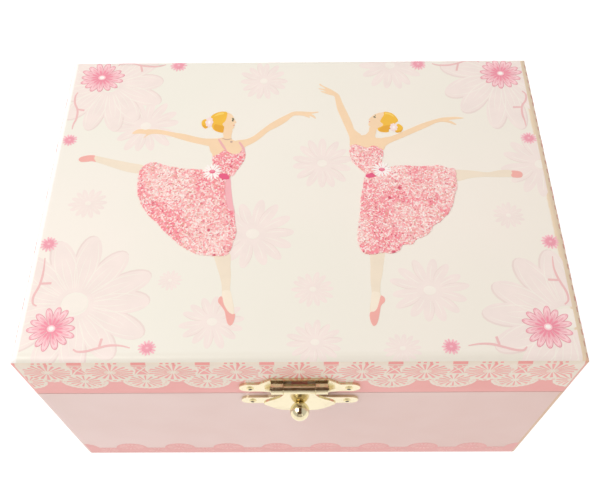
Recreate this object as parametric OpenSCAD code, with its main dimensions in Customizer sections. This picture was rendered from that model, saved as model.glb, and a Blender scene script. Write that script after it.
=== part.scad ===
// Musical jewellery box with a folding, turning dancer.
// Origin: centre of the resting face. +Z up, the latch faces -Y, the winding key faces +Y.

/* [Case] */
// Outside width of the case and lid
body_w = 155; // [140:1:170]
// Outside depth of the case and lid, front to back
body_d = 111; // [105:1:120]
// Height of the case walls
case_h = 61.7; // [60:0.1:70]
// Height of the lid walls with the top board
lid_h = 22.5; // [20:0.5:28]
// Thickness of the wall boards with their paper
wall_t = 5; // [4:0.5:6]
// Thickness of the base and top boards
panel_t = 4; // [3:0.5:5]
// Thickness of the printed paper covering
paper_t = 0.3; // [0.2:0.05:0.4]
// Radius of the rounded top edges of the lid
edge_r = 2.2; // [1.5:0.1:3]
// Radius of the upright corners
corner_r = 1.3; // [1:0.1:2]
// Thickness of the felt sheet under the base
felt_t = 0.8; // [0.5:0.1:1.5]
// Gap between the case and the closed lid
lid_gap = 0.3; // [0.2:0.1:0.6]

/* [Interior] */
// Thickness of the card linings
lining_t = 0.8; // [0.6:0.1:1.2]
// Depth of the music compartment, from the back wall
deck_d = 24.5; // [24:0.5:30]
// Height of the top of the music deck above the table
deck_z = 53.6; // [53:0.1:56]
// Width of the compartment that holds the ring rolls
rolls_w = 48; // [35:1:52]
// Mirror width
mirror_w = 104; // [80:1:112]
// Mirror height
mirror_h = 64; // [50:1:70]

/* [Hinges and latch] */
// Distance of each hinge from the middle of the box
hinge_x = 42; // [35:1:55]
// Width of a hinge
hinge_w = 20; // [16:1:26]
// Outside radius of a hinge knuckle
knuckle_r = 1.9; // [1.6:0.1:2.2]
// Radius of a hinge pin
hinge_pin_r = 0.8; // [0.6:0.05:1]
// Length of the latch plates, tip to tip
latch_w = 34.5; // [30:0.5:38]
// Radius of the ball on the hasp
ball_r = 2.8; // [2:0.1:3]

/* [Music movement] */
// Teeth on the great wheel of the spring barrel
great_n = 40; // [40:1:40]
// Leaves of the pinion on the music cylinder
pinion_n = 10; // [10:1:10]
// Teeth on the drum wheel
drum_n = 36; // [36:1:36]
// Leaves of the pinion on the intermediate arbor
mid_n = 9; // [9:1:9]
// Teeth on the wheel that drives the endless screw
worm_n = 18; // [18:1:18]
// Radius of the pinned music cylinder
drum_r = 6.1; // [5.5:0.1:6.3]
// Number of comb teeth
comb_n = 18; // [12:1:20]
// Radius of the winding arbor
arbor_r = 1.5; // [1.2:0.1:2]
// Span of the winding key's wings
key_span = 22; // [18:1:26]

/* [Dancer] */
// Forward lean of the dancer under the closed lid, in degrees
lean = 84; // [80:1:86]
// Radius of the tutu
tutu_r = 12; // [9:0.5:12]

/* [Hidden] */
$fn = 48;
eps = 0.01;

// heights
z_wall = felt_t;                       // underside of the walls
z_rim = z_wall + case_h;               // top of the case
z_lid = z_rim + lid_gap;               // underside of the lid
z_top = z_lid + lid_h;                 // top of the lid
z_floor = z_wall + paper_t + panel_t - 0.3;  // top of the base board
in_x = body_w / 2 - wall_t;            // half the inside width
in_y = body_d / 2 - wall_t;            // half the inside depth
z_cap = z_top - paper_t - panel_t;     // underside of the lid's top board
z_frame = z_cap - lining_t - 2.4;      // lowest face of the mirror frame
deck_t = 2;
deck_y = in_y - deck_d;                // front face of the deck
lx = in_x - lining_t;                  // half width between the side linings

// hinge axis
hy = body_d / 2 + knuckle_r + 0.3;
hz = (z_rim + z_lid) / 2;

// music movement
by = in_y - 2.4;                         // front face of the frame plate
bz = 18.5;                             // barrel axis height
fl = by - 2.9;                         // front face of the great wheel's flange
pitch_r = 10;
mod_p = 2 * PI * pitch_r / great_n;    // circular pitch of the great wheel
pin_r = pitch_r * pinion_n / great_n;
cy = fl - 0.6 - pin_r;                 // music cylinder axis
m2 = 0.42;
drum_wr = m2 * drum_n / 2;
mid_r = m2 * mid_n / 2;
mx = -(drum_wr + mid_r);               // intermediate arbor
worm_wr = m2 * worm_n / 2;
lead = PI * m2;
worm_pr = 1.2;
wx = mx - worm_wr - worm_pr;           // endless screw axis
wz = 30.9;                             // its height

// dancer pivot
spring_z = deck_z + 1.7;                // the spring stands on the turntable here
spring_t = 4.4;                        // from each end of the spring to the pivot
pz = spring_z + spring_t;

// ---------- helpers ----------
// block with rounded upright corners, standing on z0
module upright_block(w, d, z0, z1, r) {
  translate([0, 0, z0]) union() {
    translate([-w / 2 + r, -d / 2, 0]) cube([w - 2 * r, d, z1 - z0]);
    translate([-w / 2, -d / 2 + r, 0]) cube([w, d - 2 * r, z1 - z0]);
    for (x = [-1, 1], y = [-1, 1]) translate([x * (w / 2 - r), y * (d / 2 - r), 0]) cylinder(r = r, h = z1 - z0);
  }
}
// 2D outline of a block with its two top corners rounded
module top_round(w, h, r) {
  union() {
    translate([-w / 2, 0]) square([w, h - r]);
    translate([-w / 2 + r, 0]) square([w - 2 * r, h]);
    for (x = [-1, 1]) translate([x * (w / 2 - r), h - r]) circle(r = r);
  }
}
// block with rounded upright corners and rounded top edges
module lid_block(w, d, z0, z1, rt, rc) {
  intersection() {
    upright_block(w, d, z0, z1, rc);
    translate([0, d / 2 + 1, z0]) rotate([90, 0, 0]) linear_extrude(d + 2) top_round(w, z1 - z0, rt);
    translate([-w / 2 - 1, 0, z0]) rotate([90, 0, 90]) linear_extrude(w + 2) top_round(d, z1 - z0, rt);
  }
}
module case_inner() upright_block(body_w - 2 * paper_t, body_d - 2 * paper_t, z_wall + paper_t, z_rim - paper_t, corner_r - paper_t);
module lid_inner() lid_block(body_w - 2 * paper_t, body_d - 2 * paper_t, z_lid + paper_t, z_top - paper_t, edge_r - paper_t, corner_r - paper_t);
module box2(x0, x1, y0, y1, z0, z1) translate([x0, y0, z0]) cube([x1 - x0, y1 - y0, z1 - z0]);

function gear_pts(n, rr, rt, ar, at) = [for (i = [0 : n - 1], k = [0 : 3])
  let (a = i * 360 / n + [-ar, -at, at, ar][k], r = [rr, rt, rt, rr][k]) [r * cos(a), r * sin(a)]];
module gear(n, rr, rt, ar, at, h) linear_extrude(h) polygon(gear_pts(n, rr, rt, ar, at));
module key_hole() translate([0, in_y - 1, bz]) rotate([-90, 0, 0]) cylinder(r = 3.2, h = 8);

// ---------- case ----------
module case_front_board() color([0.78, 0.66, 0.5]) intersection() { case_inner(); box2(-body_w, body_w, -body_d, -in_y, 0, 100); }
module case_back_board() color([0.78, 0.66, 0.5]) difference() {
  intersection() { case_inner(); box2(-body_w, body_w, in_y, body_d, 0, 100); }
  key_hole();
}
module case_left_board() color([0.78, 0.66, 0.5]) box2(-body_w / 2 + paper_t, -in_x, -in_y, in_y, z_wall + paper_t, z_rim - paper_t);
module case_right_board() color([0.78, 0.66, 0.5]) box2(in_x, body_w / 2 - paper_t, -in_y, in_y, z_wall + paper_t, z_rim - paper_t);
module case_base_board() color([0.78, 0.66, 0.5]) box2(-in_x, in_x, -in_y, in_y, z_wall + paper_t, z_floor);
module case_wrap() color([0.93, 0.8, 0.78]) difference() {
  upright_block(body_w, body_d, z_wall, z_rim, corner_r);
  case_inner();
  box2(-in_x, in_x, -in_y, in_y, z_wall + 1, z_rim + 1);
  box2(-in_x + 6, in_x - 6, -in_y + 6, in_y - 6, -1, z_wall + 2);
  key_hole();
}
module base_felt() color([0.85, 0.55, 0.6]) upright_block(body_w - 8, body_d - 8, 0, z_wall, 3);

// ---------- interior ----------
module lining_front() color([0.95, 0.7, 0.75]) box2(-in_x, in_x, -in_y, -in_y + lining_t, z_floor, z_rim);
module lining_left() color([0.95, 0.7, 0.75]) box2(-in_x, -lx, -in_y + lining_t, in_y, z_floor, z_rim);
module lining_right() color([0.95, 0.7, 0.75]) box2(lx, in_x, -in_y + lining_t, in_y, z_floor, z_rim);
module lining_back() color([0.95, 0.7, 0.75]) box2(-lx, lx, in_y - lining_t, in_y, deck_z, z_rim);
module floor_pad() color([0.95, 0.7, 0.75]) box2(-lx, lx, -in_y + lining_t, deck_y, z_floor, z_floor + 2);
module deck_riser() color([0.95, 0.7, 0.75]) box2(-lx, lx, deck_y, deck_y + 2, z_floor, deck_z - deck_t);
module deck_top() color([0.96, 0.75, 0.8]) difference() {
  box2(-lx, lx, deck_y, in_y, deck_z - deck_t, deck_z);
  translate([0, cy, deck_z - 5]) cylinder(r = 3, h = 10);
  translate([-40, cy - 7.5, deck_z - 5]) cylinder(r = 1.5, h = 10);
}
div_x = lx - rolls_w;
module compartment_divider() color([0.95, 0.7, 0.75]) box2(div_x - 1.6, div_x, -in_y + lining_t, deck_y, z_floor + 2, 44);
roll_r = 7.4;
roll_n = 5;
roll_p = (2 * in_y - deck_d - lining_t) / roll_n;
module ring_roll_base() color([0.95, 0.7, 0.75]) box2(div_x, lx, -in_y + lining_t, deck_y, z_floor + 2, 26);
module ring_rolls() color([0.93, 0.62, 0.7]) for (i = [0 : roll_n - 1])
  translate([div_x + 0.4, -in_y + lining_t + roll_p * (i + 0.5), 26]) intersection() {
    translate([0, 0, roll_r - 0.6]) rotate([0, 90, 0]) cylinder(r = roll_r, h = rolls_w - 0.8);
    translate([0, -10, 0]) cube([rolls_w, 20, 30]);
  }

// ---------- lid ----------
module lid_top_board() color([0.78, 0.66, 0.5]) intersection() { lid_inner(); box2(-body_w, body_w, -body_d, body_d, z_cap, 100); }
module lid_front_board() color([0.78, 0.66, 0.5]) intersection() { lid_inner(); box2(-body_w, body_w, -body_d, -in_y, 0, z_cap); }
module lid_back_board() color([0.78, 0.66, 0.5]) intersection() { lid_inner(); box2(-body_w, body_w, in_y, body_d, 0, z_cap); }
module lid_left_board() color([0.78, 0.66, 0.5]) box2(-body_w / 2 + paper_t, -in_x, -in_y, in_y, z_lid + paper_t, z_cap);
module lid_right_board() color([0.78, 0.66, 0.5]) box2(in_x, body_w / 2 - paper_t, -in_y, in_y, z_lid + paper_t, z_cap);
module lid_wrap() color([0.95, 0.92, 0.87]) difference() {
  lid_block(body_w, body_d, z_lid, z_top, edge_r, corner_r);
  lid_inner();
  box2(-in_x, in_x, -in_y, in_y, z_lid - 1, z_lid + 2);
}
module lid_lining() color([0.97, 0.78, 0.82]) difference() {
  box2(-in_x, in_x, -in_y, in_y, z_lid, z_cap);
  box2(-lx, lx, -in_y + lining_t, in_y - lining_t, z_lid - 1, z_cap - lining_t);
}
module mirror_frame() color([0.95, 0.7, 0.76]) difference() {
  box2(-65, 65, -43, 43, z_frame, z_cap - lining_t);
  box2(-mirror_w / 2 - 0.1, mirror_w / 2 + 0.1, -mirror_h / 2 - 0.1, mirror_h / 2 + 0.1, 0, 100);
}
module mirror() color([0.8, 0.85, 0.88]) box2(-mirror_w / 2, mirror_w / 2, -mirror_h / 2, mirror_h / 2, z_cap - lining_t - 1.8, z_cap - lining_t);

// ---------- hinges ----------
leaf_t = 0.8;
leaf_h = 12;
knuckle_w = hinge_w / 3;
module barrel_x(x0, x1, r, bore) translate([x0, hy, hz]) rotate([0, 90, 0]) difference() {
  cylinder(r = r, h = x1 - x0);
  translate([0, 0, -1]) cylinder(r = bore, h = x1 - x0 + 2);
}
module nail_holes(zc) for (s = [-1, 1], x = [-1, 1]) translate([s * hinge_x + x * 6, 50, zc]) rotate([-90, 0, 0]) cylinder(r = 0.65, h = 12);
module hinge_case_leaves() color([0.83, 0.68, 0.35]) for (s = [-1, 1]) difference() {
  union() {
    for (x = [-1, 1]) translate([s * hinge_x, 0, 0]) {
      barrel_x(x > 0 ? knuckle_w / 2 + 0.1 : -hinge_w / 2, x > 0 ? hinge_w / 2 : -knuckle_w / 2 - 0.1, knuckle_r, hinge_pin_r);
      box2(x > 0 ? knuckle_w / 2 + 0.1 : -hinge_w / 2, x > 0 ? hinge_w / 2 : -knuckle_w / 2 - 0.1, body_d / 2, body_d / 2 + leaf_t, hz - 4, hz);
    }
    translate([s * hinge_x, 0, 0]) box2(-hinge_w / 2, hinge_w / 2, body_d / 2, body_d / 2 + leaf_t, hz - leaf_h, hz - knuckle_r - 0.4);
  }
  nail_holes(hz - 8);
  translate([s * hinge_x - hinge_w, hy, hz]) rotate([0, 90, 0]) cylinder(r = hinge_pin_r, h = 2 * hinge_w);
}
module hinge_lid_leaves() color([0.83, 0.68, 0.35]) for (s = [-1, 1]) difference() {
  union() {
    translate([s * hinge_x, 0, 0]) {
      barrel_x(-knuckle_w / 2, knuckle_w / 2, knuckle_r, hinge_pin_r + 0.05);
      box2(-knuckle_w / 2, knuckle_w / 2, body_d / 2, body_d / 2 + leaf_t, hz, hz + 4);
      box2(-hinge_w / 2, hinge_w / 2, body_d / 2, body_d / 2 + leaf_t, hz + knuckle_r + 0.4, hz + leaf_h);
    }
  }
  nail_holes(hz + 8);
  translate([s * hinge_x - hinge_w, hy, hz]) rotate([0, 90, 0]) cylinder(r = hinge_pin_r + 0.05, h = 2 * hinge_w);
}
module hinge_pins() color([0.75, 0.6, 0.3]) for (s = [-1, 1]) translate([s * hinge_x - hinge_w / 2 - 0.5, hy, hz]) rotate([0, 90, 0]) union() {
  cylinder(r = hinge_pin_r, h = hinge_w + 1);
  cylinder(r = 1.2, h = 0.5);
  translate([0, 0, hinge_w + 0.5]) cylinder(r = 1.2, h = 0.5);
}
// small nail with a domed head; its head sits at y = 0 and its shank runs along +Y
module nail() rotate([-90, 0, 0]) union() {
  cylinder(r = 0.55, h = 4.2);
  intersection() {
    translate([0, 0, 0.9]) sphere(r = 1.45);
    translate([0, 0, -0.6]) cylinder(r = 1.15, h = 0.6);
  }
}
module hinge_nails(zc) color([0.8, 0.65, 0.33]) for (s = [-1, 1], x = [-1, 1]) translate([s * hinge_x + x * 6, body_d / 2 + leaf_t, zc]) rotate([0, 0, 180]) nail();
module hinge_case_nails() hinge_nails(hz - 8);
module hinge_lid_nails() hinge_nails(hz + 8);

// ---------- latch ----------
fy = -body_d / 2;                      // front face
lt = 0.7;                              // sheet thickness
hx = 4.4;                              // half width of the hasp's neck
ay = fy - 2.2;                         // hasp pin axis
az = z_lid + 8.6;
knl = 1.5;                             // knuckle radius
// plate outline: rounded arms, a taller middle; zc is the arm's middle height
module latch_outline(a_h, m_h, m_w, tip) {
  union() {
    for (s = [-1, 1]) translate([s * (latch_w / 2 - tip), 0]) circle(r = tip);
    translate([-latch_w / 2 + tip, -tip]) square([latch_w - 2 * tip, 2 * tip]);
    polygon([[-m_w / 2 - 3.4, -tip], [-m_w / 2, -a_h], [m_w / 2, -a_h], [m_w / 2 + 3.4, -tip], [m_w / 2 + 3.4, tip], [m_w / 2 , m_h], [-m_w / 2, m_h], [-m_w / 2 - 3.4, tip]]);
  }
}
module latch_lid_plate() color([0.86, 0.74, 0.45]) difference() {
  union() {
    translate([0, fy, z_lid + 5.4]) rotate([90, 0, 0]) linear_extrude(lt) latch_outline(3.2, 6.0, 16.4, 2.6);
    for (s = [-1, 1]) {
      translate([s > 0 ? hx + 0.15 : -hx - 0.15 - 3.4, ay, az]) rotate([0, 90, 0]) cylinder(r = knl, h = 3.4);
      box2(s > 0 ? hx + 0.15 : -hx - 3.55, s > 0 ? hx + 3.55 : -hx - 0.15, ay, fy, az + knl - lt, az + knl);
      box2(s > 0 ? hx + 0.15 : -hx - 3.55, s > 0 ? hx + 3.55 : -hx - 0.15, ay, fy - 0.1, az - knl, az - knl + lt);
    }
  }
  translate([-20, ay, az]) rotate([0, 90, 0]) cylinder(r = 0.6, h = 40);
  for (s = [-1, 1]) translate([s * 14.1, fy - 5, z_lid + 5.4]) rotate([-90, 0, 0]) cylinder(r = 0.65, h = 10);
  box2(-hx - 0.15, hx + 0.15, fy - 0.9, fy + 0.1, az - 2.4, az + 2.0);
}
module latch_pin() color([0.8, 0.66, 0.36]) translate([-hx - 3.9, ay, az]) rotate([0, 90, 0]) union() {
  cylinder(r = 0.6, h = 2 * hx + 7.8);
  cylinder(r = 0.95, h = 0.3);
  translate([0, 0, 2 * hx + 7.5]) cylinder(r = 0.95, h = 0.3);
}
// hasp: barrel, neck and butterfly wings, in front of the case plate
hasp_half = [[hx, 0.4], [hx, -1.2], [5.5, -3.4], [7.0, -4.9], [8.7, -6.2], [9.7, -7.2], [10.3, -8.3], [10.2, -9.1], [9.6, -9.8], [8.5, -11.1], [7.0, -12.7], [5.3, -13.8], [2.8, -14.3], [0, -14.45]];
hasp_pts = concat(hasp_half, [for (i = [len(hasp_half) - 2 : -1 : 0]) [-hasp_half[i][0], hasp_half[i][1]]]);
ball_z = az - 7.7;
hasp_y = ay - 0.5;                     // back face of the hasp's plate
module latch_hasp() color([0.88, 0.77, 0.5]) difference() {
  union() {
    translate([-hx, ay, az]) rotate([0, 90, 0]) cylinder(r = knl, h = 2 * hx);
    translate([0, hasp_y, az]) rotate([90, 0, 0]) linear_extrude(lt) polygon(hasp_pts);
  }
  translate([-20, ay, az]) rotate([0, 90, 0]) cylinder(r = 0.65, h = 40);
  translate([0, hasp_y - 3, ball_z]) rotate([-90, 0, 0]) cylinder(r = 0.8, h = 6);
}
module latch_ball() color([0.9, 0.78, 0.5]) translate([0, hasp_y - lt, ball_z]) union() {
  intersection() {                     // a flat seat against the hasp
    translate([0, -ball_r + 0.25, 0]) sphere(r = ball_r);
    box2(-4, 4, -8, 0, -4, 4);
  }
  translate([0, -0.3, 0]) rotate([-90, 0, 0]) cylinder(r = 0.8, h = lt + 0.5);
  translate([0, lt, 0]) rotate([-90, 0, 0]) cylinder(r = 1.2, h = 0.4);
}
module latch_case_plate() color([0.86, 0.74, 0.45]) difference() {
  union() {
    translate([0, fy, z_rim - 4.4]) rotate([90, 0, 0]) linear_extrude(lt) latch_outline(4.2, 3.2, 12, 2.4);
    translate([0, fy, z_rim - 2.4]) rotate([90, 0, 0]) cylinder(r = 3, h = 1.0);
    box2(-2.6, 2.6, fy - 1.5, fy - 0.5, z_rim - 0.7, z_rim + 0.0);
  }
  for (s = [-1, 1]) translate([s * 13.9, fy - 5, z_rim - 4.4]) rotate([-90, 0, 0]) cylinder(r = 0.65, h = 10);
}
module latch_lid_nails() color([0.84, 0.7, 0.4]) for (s = [-1, 1]) translate([s * 14.1, fy - lt, z_lid + 5.4]) nail();
module latch_case_nails() color([0.84, 0.7, 0.4]) for (s = [-1, 1]) translate([s * 13.9, fy - lt, z_rim - 4.4]) nail();

// ---------- music movement ----------
module movement_frame() color([0.72, 0.72, 0.74]) difference() {
  union() {
    box2(-20, 27, by, in_y, 6.5, 50.4);                                   // plate against the back wall
    translate([0, by - 1.2, bz]) rotate([-90, 0, 0]) cylinder(r = 3.2, h = 1.3);   // barrel boss
    box2(-3.6, 3.6, cy - 2.6, by + 0.1, 30.2, 31.4);                      // lower bearing tab
    box2(-3.6, 3.6, cy - 2.6, by + 0.1, 49.2, 50.4);                      // upper bearing tab
    box2(15.5, 24, cy + 0.5, by + 0.1, 33.6, 48.8);                       // comb step
    box2(-12.6, -6.4, cy - 2.4, by + 0.1, 28.2, 29.4);                    // intermediate arbor, lower tab
    box2(-12.6, -8.2, cy - 2.4, by + 0.1, 34.4, 35.6);                    // intermediate arbor, upper tab
  }
  box2(-8.6, 8.6, by - 0.2, in_y + 1, 31.7, 48.9);                        // window behind the cylinder
  translate([0, by - 5, bz]) rotate([-90, 0, 0]) cylinder(r = arbor_r + 0.05, h = 12);
  translate([0, cy, 20]) cylinder(r = 1.05, h = 40);
  translate([mx, cy, 20]) cylinder(r = 0.65, h = 20);
  for (p = [[-16, 11], [23, 11], [23, 29], [-16, 45]]) translate([p[0], by - 1, p[1]]) rotate([-90, 0, 0]) cylinder(r = 1.3, h = 6);
  for (z = [36.4, 46]) translate([20, cy, z]) rotate([-90, 0, 0]) cylinder(r = 0.9, h = 5);
}
module movement_screws() color([0.6, 0.6, 0.62]) for (p = [[-16, 11], [23, 11], [23, 29], [-16, 45]]) translate([p[0], by, p[1]]) rotate([-90, 0, 0]) difference() {
  union() {
    cylinder(r = 1.25, h = 6);
    translate([0, 0, -1.2]) cylinder(r = 2.4, h = 1.2);
  }
  translate([-3, -0.3, -1.3]) cube([6, 0.6, 0.6]);
}
module spring_barrel() color([0.8, 0.66, 0.38]) translate([0, fl, bz]) rotate([90, 0, 0]) difference() {
  cylinder(r = 8.4, h = 9);
  translate([0, 0, -1]) cylinder(r = 7.7, h = 9);
  translate([0, 0, -1]) cylinder(r = arbor_r + 0.05, h = 12);
}
module great_wheel() color([0.82, 0.7, 0.42]) translate([0, fl, bz]) rotate([90, 0, 0]) difference() {
  union() {
    translate([0, 0, -1.4]) cylinder(r = 11.3, h = 1.4);
    rotate([0, 0, 90]) gear(great_n, 9.0, 11, 1.55, 1.25, 1.1);
  }
  translate([0, 0, 0]) cylinder(r = 8.45, h = 3);
  translate([0, 0, -3]) cylinder(r = arbor_r + 0.05, h = 12);
}
// mainspring: a flat spiral strip, wound against the wall of the barrel
sp_n = 60;
sp = [for (i = [0 : sp_n]) let (a = i * 24, r = 3.6 + 4.1 * i / sp_n) [r * cos(a), r * sin(a)]];
sp2 = [for (i = [sp_n : -1 : 0]) let (a = i * 24, r = 3.25 + 4.1 * i / sp_n) [r * cos(a), r * sin(a)]];
module mainspring() color([0.55, 0.57, 0.62]) translate([0, fl - 1.2, bz]) rotate([90, 0, 0]) linear_extrude(6.2) polygon(concat(sp, sp2));
module winding_arbor() color([0.7, 0.7, 0.72]) translate([0, 0, bz]) rotate([-90, 0, 0]) union() {
  translate([0, 0, fl - 10]) cylinder(r = arbor_r, h = body_d / 2 + 8 - fl + 10);
  translate([0, 0, fl - 7.6]) cylinder(r = 2.6, h = 7.1);
}
module winding_key() color([0.84, 0.7, 0.4]) translate([0, body_d / 2 + 3, bz]) rotate([-90, 0, 0]) difference() {
  union() {
    cylinder(r = 2.9, h = 9);
    for (s = [-1, 1]) translate([s * (key_span / 2 - 5), -0.8, 8.5]) rotate([-90, 0, 0]) cylinder(r = 5, h = 1.6);
    translate([-key_span / 2 + 5, -0.8, 5.5]) cube([key_span - 10, 1.6, 6]);
  }
  translate([0, 0, -1]) cylinder(r = arbor_r, h = 6);
  for (s = [-1, 1]) translate([s * (key_span / 2 - 5), -2, 8.5]) rotate([-90, 0, 0]) cylinder(r = 2, h = 4);
}
module key_eyelet() color([0.84, 0.7, 0.4]) translate([0, body_d / 2, bz]) rotate([-90, 0, 0]) difference() {
  union() {
    cylinder(r = 5.2, h = 0.5);
    translate([0, 0, 0.5]) rotate_extrude() translate([3.9, 0]) circle(r = 0.5);
  }
  translate([0, 0, -1]) cylinder(r = 3.2, h = 4);
}
// pins follow a fixed tune-like rule around the cylinder
module music_cylinder() color([0.83, 0.7, 0.42]) translate([0, cy, 0]) difference() {
  union() {
    translate([0, 0, 34.2]) cylinder(r = drum_r, h = 14);
    translate([0, 0, 32.3]) gear(drum_n, drum_wr - 0.5, drum_wr + 0.38, 2.7, 1.1, 1.1);
    translate([0, 0, 33]) cylinder(r = 3.4, h = 2);
    for (i = [0 : comb_n - 1], j = [0 : 1]) rotate([0, 0, 25 + i * 61 + j * 173])
      translate([drum_r - 0.3, -0.2, 34.2 + 0.55 + i * 0.76 - 0.15]) cube([0.6, 0.4, 0.3]);
  }
  translate([0, 0, 20]) cylinder(r = 1.0, h = 40);
}
module drum_arbor() color([0.7, 0.7, 0.72]) translate([0, cy, bz + 9.3]) union() {
  cylinder(r = 1.0, h = deck_z + 1.65 - bz - 9.3);
  gear(pinion_n, pin_r - 0.62, pin_r + 0.4, 8.6, 4, 1.5);
}
comb_z0 = 34.2 + 0.55;
module tuned_comb() color([0.62, 0.64, 0.68]) difference() {
  union() {
    box2(15.6, 23.6, cy - 0.7, cy + 0.5, 34.2, 48.4);
    for (i = [0 : comb_n - 1]) box2(drum_r + 0.62, 15.8, cy - 0.25, cy + 0.1, comb_z0 + i * 0.76 - 0.26, comb_z0 + i * 0.76 + 0.26);
  }
  for (z = [36.4, 46]) translate([20, cy - 3, z]) rotate([-90, 0, 0]) cylinder(r = 1.0, h = 6);
}
module comb_screws() color([0.6, 0.6, 0.62]) for (z = [36.4, 46]) translate([20, cy - 0.7, z]) rotate([-90, 0, 0]) difference() {
  union() {
    cylinder(r = 0.9, h = 5);
    translate([0, 0, -1.1]) cylinder(r = 1.9, h = 1.1);
  }
  translate([-2.5, -0.25, -1.2]) cube([5, 0.5, 0.5]);
}
module intermediate_wheel() color([0.83, 0.7, 0.42]) translate([mx, cy, 0]) union() {
  translate([0, 0, 27.6]) cylinder(r = 0.6, h = 8.4);
  translate([0, 0, 32.1]) rotate([0, 0, 180 / mid_n]) gear(mid_n, mid_r - 0.48, mid_r + 0.36, 11, 4.6, 1.5);
  translate([0, 0, wz - 0.5]) gear(worm_n, worm_wr - 0.45, worm_wr + 0.32, 4.6, 2.2, 1.0);
}
wm = cy;                               // the wheel meets the screw here
worm_len = 5.28;
worm_y0 = wm - worm_len / 2;
worm_phase = 180 - 360 * (worm_len / 2) / lead;
worm_pts = [for (a = [-54, -38, 0, 38, 54, 90, 135, 180, 225, 270]) let (r = abs(a) < 50 ? worm_pr + 0.34 : worm_pr - 0.4) [r * cos(a), r * sin(a)]];
module governor_worm() color([0.75, 0.76, 0.78]) translate([wx, worm_y0, wz]) rotate([-90, 0, 0]) union() {
  rotate([0, 0, worm_phase]) linear_extrude(height = worm_len, twist = -360 * worm_len / lead, slices = 64, segments = 10) polygon(worm_pts);
  translate([0, 0, -6.6]) cylinder(r = 0.45, h = 6.8);
  translate([0, 0, worm_len - 0.2]) cylinder(r = 0.45, h = 3.1);
  translate([0, 0, -5.9]) cylinder(r = 1.2, h = 4.4);
  for (s = [-1, 1]) translate([s > 0 ? 0.8 : -4.4, -0.2, -5.7]) cube([3.6, 0.4, 4.0]);
}
module governor_bracket() color([0.72, 0.72, 0.74]) difference() {
  union() {
    box2(wx - 1.8, wx + 1.2, worm_y0 - 8.2, worm_y0 - 6.2, wz - 2, wz + 2);
    box2(wx - 6.6, wx - 5.2, worm_y0 - 8.2, by, wz - 2, wz + 2);
    box2(wx - 6.6, wx - 1.0, worm_y0 - 8.2, worm_y0 - 6.2, wz - 2, wz + 2);
    box2(wx - 6.6, wx + 1.6, by - 1.4, by, wz - 2, wz + 2);
  }
  translate([wx, worm_y0 - 7.4, wz]) rotate([-90, 0, 0]) cylinder(r = 0.5, h = 30);
}
// stop wire: the closed lid holds it down on the fly
rod_y = cy - 7.5;
module stop_rod() color([0.75, 0.75, 0.77]) union() {
  translate([-40, rod_y, 42.8]) cylinder(r = 1.1, h = z_frame - 0.3 - 42.8);
  translate([-40, rod_y, z_frame - 2.3]) cylinder(r = 2.0, h = 2.0);
  translate([-40, rod_y, 44]) rotate([0, 90, 0]) cylinder(r = 0.8, h = 40.3 + wx);
  translate([wx, rod_y, wz + 4.4 + 0.4]) cylinder(r = 1.0, h = 45.2 - wz - 4.4 - 0.4);
}
module deck_bush() color([0.95, 0.95, 0.93]) translate([0, cy, deck_z - deck_t]) difference() {
  union() {
    cylinder(r = 3, h = deck_t);
    translate([0, 0, deck_t]) cylinder(r = 4.2, h = 0.4);
  }
  translate([0, 0, -1]) cylinder(r = 1.05, h = 5);
}
module turntable() color([0.97, 0.95, 0.95]) translate([0, cy, deck_z + 0.75]) difference() {
  union() {
    cylinder(r = 7.2, h = 0.9);
    translate([0, 0, 0.9]) cylinder(r = 1.2, h = 1.4);
  }
  translate([0, 0, -1]) cylinder(r = 1.0, h = 1.9);
}

// ---------- dancer, drawn upright above its pivot and leant forward ----------
module leant() translate([0, cy, pz]) rotate([lean, 0, 0]) children();
// coil spring, bent over towards the front
arc_r = spring_t / tan(lean / 2);
coil_n = 5.5;
coil_k = 14;
coil_s = coil_n * coil_k;
coil_e = 22.5 / arc_r;                 // angle left free at each end for the wire
function coil_pt(i, k) = let (f = coil_e + (lean - 2 * coil_e) * i / coil_s, a = 360 * i / coil_k, b = 60 * k,
    er = [sin(a), cos(a) * cos(f), cos(a) * sin(f)], et = [0, -sin(f), cos(f)],
    c = [0, cy - arc_r + arc_r * cos(f), spring_z + arc_r * sin(f)])
  c + 1.75 * er + 0.32 * (cos(b) * er + sin(b) * et);
module dancer_spring() color([0.8, 0.8, 0.82]) polyhedron(
  points = [for (i = [0 : coil_s], k = [0 : 5]) coil_pt(i, k)],
  faces = concat([[5, 4, 3, 2, 1, 0]], [[for (k = [0 : 5]) coil_s * 6 + k]],
    [for (i = [0 : coil_s - 1], k = [0 : 5]) let (a = i * 6 + k, b = i * 6 + (k + 1) % 6) [a, b, b + 6]],
    [for (i = [0 : coil_s - 1], k = [0 : 5]) let (a = i * 6 + k, b = i * 6 + (k + 1) % 6) [a, b + 6, a + 6]]));
module dancer_plug() color([0.97, 0.95, 0.95]) leant() union() {
  translate([0, 0, 3.1]) cylinder(r = 1.2, h = 1.4);
  translate([0, 0, 4.42]) cylinder(r = 2.4, h = 0.7);
  cylinder_pin();
}
module cylinder_pin() translate([0, 0, 5]) cylinder(r = 0.7, h = 3.7);
module limb(a, b, r1, r2) {
  d = b - a;
  l = norm(d);
  translate(a) rotate([0, acos(d[2] / l), atan2(d[1], d[0])]) cylinder(r1 = r1, r2 = r2, h = l);
}
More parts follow.
